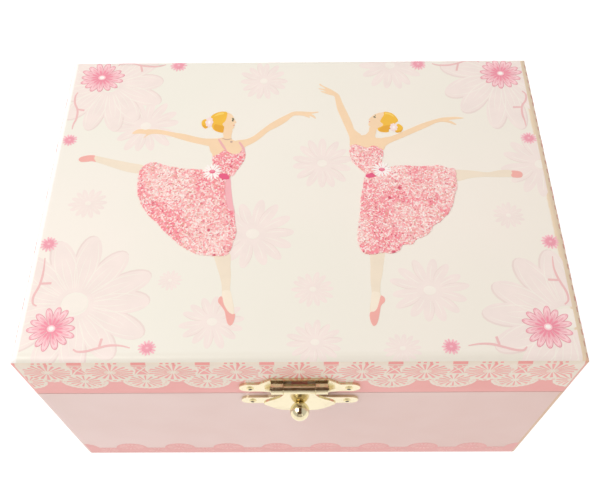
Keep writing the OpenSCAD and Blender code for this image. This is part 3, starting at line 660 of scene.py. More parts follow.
# =====================================================================
# printed artwork
# =====================================================================
# --- drawing data ---
SHAPES = [
    ('tights', 2, 'f', 0, [(-49.3, 10.7), (-52.1, 11.3), (-55.4, 12.1), (-58.6, 12.9), (-61.9, 13.8), (-64.5, 14.4), (-66.6, 14.2), (-65.5, 12.6), (-62.8, 11.6), (-59.5, 10.3), (-56.2, 9), (-53, 7.9), (-49.2, 7.2), (-46.1, 7), (-45.7, 9.3)]),
    ('shoe', 3, 'f', 0, [(-64.2, 14.4), (-66.4, 14.5), (-68.5, 13.8), (-69.1, 12.8), (-68.2, 12), (-66.3, 12), (-64.8, 12.2), (-63.5, 11.9), (-64.3, 13.2)]),
    ('tights', 2, 'f', 0, [(-24.5, -21.5), (-20.1, -21.5), (-19.6, -26), (-19.3, -29.1), (-19.3, -33.7), (-18.5, -36.7), (-18, -39.1), (-17.9, -41.4), (-19.1, -41.1), (-20.7, -39.1), (-21.4, -36.7), (-21.6, -34), (-21.9, -31.5), (-22.7, -28.4), (-23.7, -25.3)]),
    ('tights_lit', 3, 'f', 0, [(-21.4, -34), (-19.3, -34), (-18.6, -36.7), (-18.1, -39.1), (-18.1, -41), (-19.1, -40.7), (-20.4, -39.1), (-21.2, -36.7)]),
    ('shoe', 4, 'f', 0, [(-21.8, -35.6), (-22.4, -36.3), (-22.4, -37.5), (-21.4, -38.8), (-20.5, -40.3), (-20.1, -42), (-19.6, -43.8), (-18.8, -44.6), (-18.1, -44), (-17.7, -42.6), (-17.6, -41.1), (-18.3, -41.2), (-19.2, -40.7), (-20.1, -39.5), (-20.9, -37.9), (-21.3, -36.2)]),
    ('skin', 2, 'f', 0, [(-53.5, 23.4), (-52.4, 24.6), (-51.1, 25), (-47.2, 24.9), (-44.6, 24.7), (-40.2, 23.6), (-36.7, 22.9), (-33.2, 21.8), (-29.7, 21), (-25.9, 21), (-24, 21.2), (-22.8, 18), (-26, 14.8), (-27.1, 13.9), (-27.4, 15.8), (-28.3, 17.7), (-29.6, 18.2), (-31.3, 18.7), (-34.8, 19.7), (-38.3, 21), (-41.8, 22.3), (-44.5, 22.9), (-47, 23), (-48.4, 22.4), (-49.4, 21.5), (-49.6, 21.7), (-48.9, 22.8), (-50.9, 23.2), (-52.9, 23.1)]),
    ('skin', 2, 'f', 0, [(-20.3, 19.8), (-16.9, 20.6), (-14.4, 22), (-11.9, 24.5), (-9.4, 26.9), (-6.8, 28.9), (-4.2, 30.6), (-2, 31.9), (0.1, 32.1), (2.8, 31.9), (4.5, 31.8), (6.2, 31.9), (6.1, 31.5), (4.1, 31), (4.8, 30.4), (5.5, 29.2), (5.2, 29.1), (3.4, 30.3), (3.6, 29.5), (3.1, 29.5), (1.4, 30.2), (-0.3, 30.4), (-2, 30.1), (-4.2, 27.7), (-6.8, 25.7), (-9.7, 23.8), (-12.2, 21.1), (-14.3, 19.2), (-16.8, 17.6), (-18.4, 15.8), (-20.2, 16.9)]),
    ('skin', 3, 'f', 0, [(-24.4, 24.5), (-24.1, 21.8), (-24.5, 21), (-26.5, 20.8), (-28.8, 20.2), (-28.4, 17.5), (-27.3, 14.8), (-24.2, 13.7), (-20, 13.7), (-17.8, 15.2), (-17.4, 17.9), (-18.6, 20.1), (-20.3, 20), (-21.4, 20.7), (-21.6, 22.3), (-21.5, 24.5)]),
    ('skin', 4, 'f', 0, [(-23.9, 31.7), (-22.5, 31.4), (-21.6, 30.5), (-21.1, 29.4), (-20.8, 28.6), (-20.3, 27.8), (-20.4, 27.3), (-20.9, 27.1), (-20.7, 26.5), (-21, 26.2), (-20.8, 25.6), (-21.3, 24.8), (-21.9, 24.1), (-23, 23.9), (-24.6, 24.5), (-25.4, 27.4), (-25.1, 30.2)]),
    ('hair', 5, 'f', 0, [(-23.4, 31.8), (-25.1, 32.2), (-27.2, 31.5), (-28.6, 30.1), (-28.2, 28.7), (-28.2, 26.5), (-27.4, 24.6), (-25.7, 23.6), (-24.4, 23.4), (-24.2, 24.5), (-24.1, 25.7), (-24.7, 26.9), (-23.9, 28.1), (-23.5, 29.6)]),
    ('hair_dark', 6, 'f', 0, [(-27.5, 25.7), (-27, 26.8), (-25.8, 26.5), (-24.5, 26.1), (-24.2, 25.4), (-24.4, 23.5), (-25.7, 23.7), (-26.9, 24.3)]),
    ('hair_lit', 6, 'f', 0, [(-24.5, 31.8), (-26.1, 31.6), (-27.2, 30.7), (-27.5, 30.1), (-26, 30.7), (-24.6, 31.1)]),
    ('hair', 5, 'f', 0, [(-30.4, 29), (-31.2, 28.5), (-31.5, 27.3), (-31.1, 26), (-30.1, 25.1), (-29.4, 25.7), (-29.3, 27.4), (-29.7, 28.6)]),
    ('hair_dark', 6, 'f', 0, [(-31.2, 26.8), (-30.8, 25.7), (-30.1, 25.2), (-29.4, 25.7), (-30.1, 26.2), (-30.6, 26.5)]),
    ('eye', 6, 's', 0.5, [(-21.7, 29.4), (-21.3, 29), (-21.5, 28.3), (-21.2, 28)]),
    ('blush', 6, 's', 0.35, [(-21.3, 26.3), (-20.7, 26.4)]),
    ('chain', 6, 's', 0.3, [(-24.4, 20.9), (-22.9, 20.5), (-21.4, 20.8)]),
    ('chain', 6, 's', 0.8, [(-21.6, 19.9), (-21.4, 19.2)]),
    ('strap', 6, 's', 0.7, [(-25.6, 20.7), (-24.4, 18.5), (-22.8, 15.8)]),
    ('strap', 6, 's', 0.7, [(-19, 19.5), (-17.8, 17.4), (-17, 15.2)]),
    ('glitter', 5, 'f', 0, [(-27.1, 13.6), (-25.1, 14.8), (-23.4, 16.2), (-22, 15.3), (-20.5, 14.6), (-18.8, 15), (-18, 16.8), (-18.3, 18.3), (-17.2, 16.4), (-16.8, 14.7), (-17, 12.6), (-18.1, 10), (-19.4, 7.9), (-20.6, 6), (-23.8, 6.9), (-26.5, 9.5), (-27, 11.6)]),
    ('skirt_edge', 5, 'f', 0, [(-23.7, 4.5), (-21.3, 4.9), (-20.9, 2.3), (-20.3, -1.9), (-19.4, -7.2), (-20.2, -7.7), (-21.9, -6.8), (-23, -0.9)]),
    ('glitter', 6, 'g', 0, [(-21.2, 5.7), (-23.8, 6.8), (-26.6, 8), (-30.7, 8.6), (-35.4, 9), (-39.5, 9.7), (-42.7, 10.7), (-45.3, 11.5), (-47.4, 10.9), (-49.1, 9), (-49.6, 5.5), (-49.5, 1.7), (-48.8, -1.3), (-47.6, -4.2), (-46.2, -6.4), (-44.7, -8.6), (-42.4, -10.7), (-40.1, -13.6), (-37.5, -16), (-35.3, -18.3), (-32.5, -20.3), (-29.8, -21.7), (-27.1, -22.4), (-23.9, -22.5), (-21, -22.4), (-19.8, -20.6), (-19.2, -18.2), (-18.5, -15.1), (-18.9, -10.9), (-19.5, -7.3), (-21.3, -5.9), (-22, -3), (-22.5, 0.8), (-22.4, 3.8)]),
    ('skirt_edge', 6, 'f', 0, [(-22.5, 5.3), (-21.2, 5.3), (-20.6, 0.7), (-19.9, -4.1), (-19.1, -8.4), (-20.4, -8.4), (-21.5, -4.8), (-22.2, 0)]),
    ('sash', 8, 'f', 0, [(-24.5, 6.8), (-22.9, 6.9), (-21.7, 6), (-21.4, 5.2), (-22.1, 4.7), (-23.4, 4.8), (-24.5, 5.6)]),
    ('tights', 2, 'f', 0, [(48, 7.6), (51.2, 7.8), (54.7, 7.4), (58.1, 6.9), (61.4, 7.6), (63.9, 7.8), (65.8, 7.3), (65.6, 5.3), (63.2, 5.1), (60.4, 5.1), (56.8, 5.2), (52.6, 4.8), (48.3, 3.8)]),
    ('shoe', 3, 'f', 0, [(65.6, 7.5), (68, 7.2), (68.7, 6.2), (68.1, 4.9), (65.6, 5), (65.2, 5.8), (65.6, 6.6)]),
    ('tights', 2, 'f', 0, [(20.9, -20.7), (24.6, -20.7), (24.1, -26), (23.6, -29), (23, -31.6), (22.7, -34.5), (22.9, -36), (22.2, -38.1), (21.4, -40.3), (19.7, -41), (19.6, -39.5), (20.3, -34.9), (20.2, -31.2), (20.4, -26.4)]),
    ('tights_lit', 3, 'f', 0, [(20.4, -34.7), (22.5, -34.7), (22.6, -36), (22.1, -38), (21.3, -40.1), (19.8, -40.8), (19.8, -39.5)]),
    ('shoe', 4, 'f', 0, [(23, -35.6), (23.8, -36.3), (23.8, -37.5), (22.7, -38.8), (22.2, -41), (21.6, -43.4), (21, -44.6), (20.2, -44.8), (19.6, -43.4), (19.4, -41.6), (19.8, -40.7), (20.8, -40.5), (21.6, -39.5), (22.2, -37.8), (22.6, -36.3)]),
    ('skin', 2, 'f', 0, [(7.1, 44.2), (8.1, 43.2), (10.1, 42), (12, 40.5), (13.3, 39), (14.4, 35.2), (15.9, 30.8), (17.1, 26.9), (17.7, 24.5), (18.8, 23.1), (19.8, 21.8), (18.7, 18.5), (16.3, 19.4), (16, 21.5), (15, 24.8), (13.5, 29.6), (12.5, 33), (12, 36.6), (11.6, 38.6), (10, 39.3), (7.5, 40.5), (7.3, 40.9), (9.1, 40.7), (6.9, 41.8), (6.6, 42.2), (8.8, 41.9), (6.9, 43.6)]),
    ('skin', 2, 'f', 0, [(25.9, 20.6), (29.5, 21.5), (32.9, 23.2), (36.2, 24.9), (39.7, 26.7), (43.1, 28), (45.8, 28.9), (48.1, 29.2), (50.8, 29.3), (53.2, 28.9), (53, 28.7), (51, 28.4), (48.3, 28), (49.4, 27.3), (50.5, 26.3), (50.2, 26), (48.2, 26.9), (46, 27.3), (44, 26.8), (41.2, 25.2), (37.8, 23.4), (34.4, 21.6), (31.3, 20), (29, 18.8), (27.4, 17.5), (26.5, 15.8), (25.3, 16.8), (24.5, 19.3)]),
    ('skin', 3, 'f', 0, [(19.7, 21.9), (21.2, 22.2), (22.3, 23.5), (22.7, 25.2), (24.5, 24.5), (24.7, 23.5), (24.3, 21.8), (24.5, 20.9), (26.2, 20.6), (28.1, 19.7), (27.1, 17.4), (26.4, 15.8), (24.6, 16), (21.4, 16.2), (18.6, 17.1), (16.3, 17.4), (16.2, 19.8), (17.2, 22.7)]),
    ('skin', 4, 'f', 0, [(28, 31.4), (26.8, 31.4), (25.4, 31), (24.1, 30.2), (23.3, 29.4), (22.6, 28.6), (22.6, 28.2), (23, 28), (22.6, 27.6), (22.8, 27.2), (22.5, 26.9), (22.3, 26.2), (22.9, 25.5), (23.6, 24.9), (24.4, 24.4), (25.8, 24.5), (27.2, 26), (28.6, 28.6)]),
    ('hair', 5, 'f', 0, [(27.8, 31.6), (29.8, 31.2), (31.2, 29.8), (32, 27.9), (31.2, 27), (29.8, 25.1), (28.8, 24.2), (28.6, 23.2), (27, 23.1), (25.6, 23.6), (25.2, 24.7), (26.5, 25.5), (27.1, 26.4), (26.2, 27.5), (26.7, 28.8), (27.5, 30.3)]),
    ('hair_dark', 6, 'f', 0, [(25.6, 24), (26.5, 25.2), (27.8, 25.8), (29.5, 26), (29.7, 25.1), (28.8, 24.2), (28.6, 23.4), (27, 23.2)]),
    ('hair_lit', 6, 'f', 0, [(28.1, 31.3), (29.6, 30.9), (30.8, 29.8), (30.4, 29.6), (29.3, 30.4), (28, 30.7)]),
    ('hair', 5, 'f', 0, [(32, 26.5), (33, 25.7), (33.3, 24.6), (32.7, 23.3), (31.5, 22.9), (30.8, 23.4), (30.8, 24.7), (31.2, 25.9)]),
    ('hair_dark', 6, 'f', 0, [(33.1, 24.2), (32.7, 23.3), (31.5, 22.9), (30.8, 23.3), (31.7, 23.5), (32.6, 23.9)]),
    ('eye', 6, 's', 0.5, [(24.1, 29.4), (24.5, 29.5), (24.7, 29.1)]),
    ('eye', 6, 's', 0.4, [(24.6, 30.2), (24.9, 30.3)]),
    ('blush', 6, 's', 0.35, [(22.5, 27.5), (23, 27.4)]),
    ('glitter', 5, 'g', 0, [(16.4, 17.6), (17.7, 18.1), (19.6, 17.5), (21.5, 16.8), (23.4, 17.6), (25.4, 16.6), (26.4, 15.7), (26.3, 13.2), (25.7, 11.2), (26.2, 9.2), (23.9, 6.4), (21, 6.1), (19.8, 7.6), (18, 9.5), (16.5, 12), (15.9, 15.2)]),
    ('glitter', 6, 'g', 0, [(20.2, 5.3), (19.6, 2.2), (18.7, -2.5), (18.2, -7.5), (17.6, -12), (17.2, -15.2), (17.2, -18.3), (18.3, -21.1), (20, -22.3), (22.6, -22.1), (24.6, -21.6), (26.9, -22), (29, -21.1), (30.4, -19), (32.8, -18.9), (34.3, -17.2), (37.1, -15.9), (39, -14), (39.4, -12.8), (41.9, -11), (43.9, -8.9), (45.4, -6.8), (46.4, -4.3), (47.2, -1.4), (48.3, 2), (48.2, 4.6), (48.4, 7.2), (47.9, 8.4), (46, 8.6), (43.6, 9.7), (40.7, 9.5), (37.2, 9.3), (32.9, 9.6), (29.3, 9.4), (27.5, 8.3), (25.3, 6.5), (22.7, 5.7)]),
    ('sash', 8, 'f', 0, [(20.4, 5.7), (21.4, 6.5), (22.6, 6.8), (23.5, 5.6), (22.5, 5.2), (21.2, 5)]),
]
FLOWERS = [
    ('pink', -66.5, 47.5, 7.75, 7.10, 15, 8),
    ('pink', 67.8, 48.2, 7.35, 6.90, 15, 3),
    ('pink', -67.6, -45.4, 7.15, 6.90, 14, 5),
    ('pink', 67.6, -45.5, 7.20, 6.85, 14, 10),
    ('small', -41, 53, 2.6, 2.6, 12, 0),
    ('small', -73.2, 20.7, 2.4, 2.2, 12, 7),
    ('small', 40.5, 52.9, 2.6, 2.6, 12, 14),
    ('small', 72.9, 20.3, 2.4, 2.2, 12, 21),
    ('small', -73, -18.2, 2.5, 2.4, 12, 28),
    ('small', -40.8, -51.2, 2.4, 2.1, 12, 35),
    ('small', 73, -18.3, 2.5, 2.4, 12, 42),
    ('small', 40.8, -51.1, 2.4, 2.2, 12, 49),
    ('white', -26.8, 7.7, 3.2, 3.3, 15, 4),
    ('white', 25.6, 8.1, 3.3, 3, 15, 9),
    ('tie', -29, 27.7, 1.3, 2.2, 8, 0),
    ('tie', 30.4, 25.1, 1.3, 1.7, 8, 0),
    ('faint_big', -62.4, -37.8, 23.7, 22.8, 13, 0),
    ('faint_big', 73.5, -42.8, 24.5, 23.5, 13, 9),
    ('faint_big', 67.7, 48.2, 21.8, 25.6, 13, 5),
    ('faint_big', -63.4, 44.7, 20.2, 22.7, 13, 4),
    ('faint', -13.6, -15, 13.2, 12.5, 14, 3),
    ('faint', -23.8, -43.4, 9.6, 8.5, 14, 8),
    ('faint', -36.5, -30.4, 3.7, 3.4, 14, 0),
    ('faint', -63.7, -3.8, 6.1, 5.8, 14, 5),
    ('faint', -11.8, 45.6, 8.4, 9, 14, 2),
    ('faint', -49.4, 26.3, 11.4, 11.7, 14, 6),
    ('faint', 7.2, 10.8, 10.2, 10.3, 14, 9),
    ('faint', 30.9, 52.5, 10.8, 12, 14, 1),
    ('faint', 75, 9.9, 13, 13.1, 14, 7),
    ('faint', 62.2, -9, 5, 4.9, 14, 3),
    ('faint', 36.6, -34, 11.8, 10.6, 14, 6),
    ('faint', 3.9, -33.5, 6.4, 5.8, 14, 2),
    ('faint', 27.8, -51.5, 5.4, 4.6, 14, 5),
    ('faint', 4.3, -49.6, 8.1, 7, 14, 8),
]
TWIGS = [
    ([(-61.6, 53), (-60.6, 54.1), (-57.2, 54.3), (-53.6, 53.1), (-50.1, 52.6), (-47.4, 52.8), (-45.4, 53.5)], [(-54, 53.4), (-53.2, 50.3)]),
    ([(-73.6, 41), (-74.2, 39.4), (-73.9, 36.3), (-72.6, 33.3), (-72.4, 29.9), (-73, 27.3), (-73.1, 25.2)], [(-72.7, 33.7), (-70.3, 33.1)]),
    ([(61.3, 53.6), (60.1, 54.8), (57.3, 54.7), (54.1, 53.2), (50.6, 52.3), (47.2, 52.4), (45.2, 53.1)], [(54.1, 53), (53.2, 49.7)]),
    ([(73.8, 40.3), (74.8, 38.9), (74.4, 36.3), (72.8, 33.7), (72.4, 30.3), (72.7, 27.7), (72.8, 25.2)], [(72.6, 33.3), (69.8, 33.3)]),
    ([(-72.9, -38.4), (-74.1, -37.5), (-74.3, -35.3), (-73.4, -32.4), (-73, -29.5), (-73, -26.3), (-73.3, -22.9)], [(-73.2, -31.3), (-70, -31.2)]),
    ([(-60.7, -51.4), (-59.5, -52.1), (-57.1, -52), (-54, -51.1), (-51.4, -50.4), (-48.2, -50.4), (-45.4, -51.1)], [(-53.8, -51), (-53.4, -48.3)]),
    ([(73.4, -38.6), (74.6, -37.3), (74.6, -34.8), (73.6, -32), (72.8, -29.4), (72.4, -26.5), (72.7, -23.2)], [(73.3, -31), (70.1, -30.8)]),
    ([(61, -51.2), (59.8, -52.2), (57.4, -52), (54.3, -51.1), (51.7, -50.4), (48.6, -50.3), (45.4, -50.8)], [(53.8, -50.9), (53.2, -48.2)]),
]
# --- end of drawing data ---

COL = {
    "skin": "F4D4AE", "tights": "EEDFC9", "tights_lit": "F3E6D2", "shoe": "EFADA4", "hair": "F1BB33", "hair_dark": "E6A622", "hair_lit": "F7CF5E",
    "eye": "6B6A50", "blush": "E79A86", "chain": "C9A894", "strap": "EBAEB0", "sash": "E4557F", "skirt_edge": "F2B2B8",
    "petal": "F8CDD1", "petal_mid": "F1B3BC", "petal_deep": "F092A5", "petal_line": "E292A0", "petal_lit": "FBE4E2", "petal_white": "FAF3EE", "centre_pink": "E6718B", "centre_white": "FBF4EE",
    "small": "F4BCC5", "small_deep": "EE9FAE", "twig": "EBBDBC", "faint": "F1E3DC", "faint_line": "EAD9D2", "faint_mid": "F3EBE1", "tie": "F4DEDC",
}
plates = {}
EDGE_Y, EDGE_X = HY - 2.2, HX - 2.2      # the drawing stays on the flat of the lid
GLITTER = 0.06


def plate(colour, body="lid", place=on_lid, tag="lid"):
    key = (colour, tag)
    if key not in plates:
        mat = glitter_mat() if colour == "glitter" and "print_glitter" not in bpy.data.materials else (bpy.data.materials["print_glitter"] if colour == "glitter" else ink("print_" + colour, srgb(COL[colour])))
        plates[key] = Plate("print_%s_%s" % (tag, colour), mat, body, place)
        if tag == "lid":
            plates[key].limit = (EDGE_X, EDGE_Y)
    return plates[key]


def jitter(pts, amp, seed=0):
    """a slightly ragged outline, as glitter on glue has"""
    r = random.Random(seed)
    out = []
    for i, (x, y) in enumerate(pts):
        out.append((x + r.uniform(-amp, amp), y + r.uniform(-amp, amp)))
    return out


for colour, lv, kind, w, pts in SHAPES:
    p = plate(colour)
    lift = GLITTER + 0.03 if colour == "sash" else 0.0
    if kind == "f":
        p.prism(spline(pts, 5), level(lv) + lift)
    elif kind == "p":
        p.prism(pts, level(lv))
    elif kind == "g":
        p.prism(jitter(spline(pts, 7), 0.13, len(pts)), level(lv) + GLITTER)
    else:
        p.stroke(spline(pts, 6, closed=False), w, level(lv), (0.6, 0.4))


def petal_outline(cx, cy, rx, ry, ang, r0, r1, half, base=0.3):
    """one petal of a flower squeezed to rx, ry; half is half its width as a share of the radius"""
    ts = [0.0, 0.2, 0.4, 0.6] + [0.6 + 0.4 * math.sin(math.pi / 2 * q / 5) for q in range(1, 6)]
    side = []
    for t in ts:
        w = half * (base + (1 - base) * math.sin(math.pi / 2 * min(1, t / 0.6)))
        if t > 0.6:
            w *= math.sqrt(max(0.0, 1 - ((t - 0.6) / 0.4) ** 2))
        side.append((r0 + (r1 - r0) * t, w))
    ca, sa = math.cos(ang), math.sin(ang)
    out = []
    for r, w in [(r, w) for r, w in side] + [(r, -w) for r, w in side[-2::-1]]:
        out.append((cx + (r * ca - w * sa) * rx, cy + (r * sa + w * ca) * ry))
    return out


def disc(cx, cy, rx, ry, n=28, rot=0.0):
    return [(cx + rx * math.cos(rot + 2 * math.pi * i / n), cy + ry * math.sin(rot + 2 * math.pi * i / n)) for i in range(n)]


def bowed(cx, cy, rx, ry, ang, r0, r1, w):
    """a line along a petal, bowed out to one side"""
    pts = []
    for i in range(6):
        t = i / 5
        r = r0 + (r1 - r0) * t
        q = w * math.sin(math.pi * (0.15 + 0.7 * t))
        pts.append((cx + (r * math.cos(ang) - q * math.sin(ang)) * rx, cy + (r * math.sin(ang) + q * math.cos(ang)) * ry))
    return pts


for kind, cx, cy, rx, ry, n, rot in FLOWERS:
    rnd = random.Random(int(cx * 10) * 7 + n)
    if kind == "small":
        n, rx, ry = 14, rx * 1.12, ry * 1.12
    for i in range(n):
        a = math.radians(rot) + 2 * math.pi * i / n + rnd.uniform(-0.05, 0.05)
        k = rnd.uniform(0.88, 1.0)
        if kind == "pink":
            plate("petal_line").prism(petal_outline(cx, cy, rx, ry, a, 0.2, k, 0.140), level(4))
            plate("petal").prism(petal_outline(cx, cy, rx, ry, a, 0.2, k - 0.03, 0.112), level(5))
            plate("petal_mid").prism(petal_outline(cx, cy, rx, ry, a, 0.16, 0.78 * k, 0.080), level(6))
            plate("petal_deep").prism(petal_outline(cx, cy, rx, ry, a, 0.14, 0.50 * k, 0.046), level(7))
            plate("petal_lit").stroke(bowed(cx, cy, rx, ry, a, 0.5, 0.86 * k, 0.035), 0.14, level(8))
            plate("petal_mid").prism(petal_outline(cx, cy, rx, ry, a, 0.88 * k, k - 0.02, 0.04, 0.1), level(8))
        elif kind == "small":
            plate("small").prism(petal_outline(cx, cy, rx, ry, a, 0.15, k, 0.12), level(4))
            plate("small_deep").prism(petal_outline(cx, cy, rx, ry, a, 0.1, 0.6, 0.1), level(5))
        elif kind == "white":
            plate("centre_pink").prism(petal_outline(cx, cy, rx, ry, a + math.pi / n, 0.2, 0.62, 0.05), level(8) + GLITTER)
            plate("petal_white").prism(petal_outline(cx, cy, rx, ry, a, 0.2, k, 0.105), level(9) + GLITTER)
        elif kind == "tie":
            plate("tie").prism(petal_outline(cx, cy, rx, ry, a, 0.1, 1, 0.3), level(7))
        elif kind == "faint_big":
            plate("faint_line").prism(petal_outline(cx, cy, rx, ry, a + 0.02, 0.16, k, 0.158), level(0))
            plate("faint").prism(petal_outline(cx, cy, rx, ry, a, 0.16, k - 0.012, 0.150), level(1))
            for d in (-1, 1):
                plate("faint_mid").stroke(bowed(cx, cy, rx, ry, a, 0.22, 0.9 * k, d * 0.125), 0.3, level(2), (0.4, 0.3))
                plate("faint_mid").stroke(bowed(cx, cy, rx, ry, a, 0.22, 0.7 * k, d * 0.045), 0.22, level(2), (0.4, 0.3))
        else:
            plate("faint").prism(petal_outline(cx, cy, rx, ry, a, 0.14, k, 0.128), level(0))
            plate("faint_mid").stroke(bowed(cx, cy, rx, ry, a, 0.3, 0.8 * k, 0.03), 0.02 * rx, level(1), (0.4, 0.3))
            if rx > 8 and i % 2 == 0:
                plate("faint_line").stroke(bowed(cx, cy, rx, ry, a, 0.3, 0.92 * k, 0.125), 0.16, level(1), (0.4, 0.3))
    if kind == "pink":
        plate("petal_deep").prism(disc(cx, cy, rx * 0.20, ry * 0.20), level(8))
        plate("petal").prism(disc(cx, cy + 0.05, rx * 0.16, ry * 0.15), level(9))
        plate("centre_white").prism(disc(cx, cy + 0.1, rx * 0.10, ry * 0.09), level(10))
    elif kind == "small":
        plate("small_deep").prism(disc(cx, cy, rx * 0.3, ry * 0.3), level(6))
        plate("small").prism(disc(cx, cy + 0.05, rx * 0.16, ry * 0.14), level(7))
    elif kind == "white":
        plate("centre_pink").prism(disc(cx, cy, rx * 0.3, ry * 0.22), level(10) + GLITTER)
        plate("petal_deep").prism(disc(cx, cy + ry * 0.08, rx * 0.2, ry * 0.1), level(11) + GLITTER)
    elif kind == "tie":
        plate("centre_white").prism(disc(cx, cy, rx * 0.3, ry * 0.3), level(8))
    else:
        plate("faint_mid").prism(disc(cx, cy, rx * 0.15, ry * 0.13), level(2))

for main, branch in TWIGS:
    plate("twig").stroke(spline(main, 6, closed=False), 0.66, level(3), (0.6, 0.4))
    plate("twig").stroke(spline(branch, 4, closed=False), 0.7, level(3), (0.6, 1.0))

# ---------- lace round the lid ----------
COL.update({"lace": "EBDDCC", "lace_hole": "EE9F99", "lace_soft": "EFC4B6", "base_lace": "E9A49F", "base_lace_lit": "F0BCB5"})
PITCH = 2 * HX / 9.0
EDGE_R = 2.2
Z_ROLL = Z_TOP - EDGE_R        # the print goes on over the rounded edge from here


def wrapped(u, s, w):
    """(out from the inner corner line, height) of a point s up the wall, following the rounded edge"""
    if s <= Z_ROLL:
        return EDGE_R + w, s
    f = (s - Z_ROLL) / EDGE_R
    return (EDGE_R + w) * math.cos(f), Z_ROLL + (EDGE_R + w) * math.sin(f)


def faces():
    """the four upright faces: tag, length, place(u, z, out)"""
    def front(u, z, w):
        o, h = wrapped(u, z, w)
        return (u, -(HY - EDGE_R) - o, h)

    def right(u, z, w):
        o, h = wrapped(u, z, w)
        return ((HX - EDGE_R) + o, u, h)

    def back(u, z, w):
        o, h = wrapped(u, z, w)
        return (-u, (HY - EDGE_R) + o, h)

    def left(u, z, w):
        o, h = wrapped(u, z, w)
        return (-(HX - EDGE_R) - o, -u, h)

    yield "front", 2 * HX, front
    yield "right", 2 * HY, right
    yield "back", 2 * HX, back
    yield "left", 2 * HY, left


S_TOP = Z_ROLL + 1.55          # where the lace begins, measured up the wall and over the edge


def rolled(p, pts, top):
    """a piece that may lie on the rounded edge: cut into strips there, so that it follows the curve"""
    bands = [-100.0, Z_ROLL] + [Z_ROLL + 0.31 * q for q in range(1, 6)]
    lo_, hi_ = min(q[1] for q in pts), max(q[1] for q in pts)
    for i in range(len(bands) - 1):
        z0, z1 = bands[i], min(bands[i + 1], S_TOP)
        if z0 >= hi_ or z1 <= lo_:
            continue
        part = pts
        for sign, lim in ((1, z1), (-1, -z0)):
            out = []
            for j in range(len(part)):
                a0, b0 = part[j - 1], part[j]
                ia, ib = a0[1] * sign <= lim, b0[1] * sign <= lim
                if ia != ib:
                    k = (lim * sign - a0[1]) / (b0[1] - a0[1])
                    out.append((a0[0] + (b0[0] - a0[0]) * k, lim * sign))
                if ib:
                    out.append(b0)
            part = out
            if not part:
                break
        clean = []
        for q in part:
            if not clean or math.hypot(q[0] - clean[-1][0], q[1] - clean[-1][1]) > 0.003:
                clean.append(q)
        if len(clean) > 2:
            p.prism(clean, top)


def spoke(c, zc, rx, rz, a, r0, r1, w0, w1):
    """a wedge-shaped hole of a lace medallion; w0, w1 are half widths in mm"""
    ca, sa = math.cos(a), math.sin(a)
    p0, p1 = (c + rx * r0 * ca, zc + rz * r0 * sa), (c + rx * r1 * ca, zc + rz * r1 * sa)
    d = math.hypot(p1[0] - p0[0], p1[1] - p0[1]) or 1
    nx, nz = -(p1[1] - p0[1]) / d, (p1[0] - p0[0]) / d
    e = (p1[0] - p0[0]) / d * 0.25, (p1[1] - p0[1]) / d * 0.25
    return [(p0[0] + nx * w0, p0[1] + nz * w0), (p0[0] - nx * w0, p0[1] - nz * w0), (p1[0] - nx * w1, p1[1] - nz * w1),
            (p1[0] + e[0], p1[1] + e[1]), (p1[0] + nx * w1, p1[1] + nz * w1)]


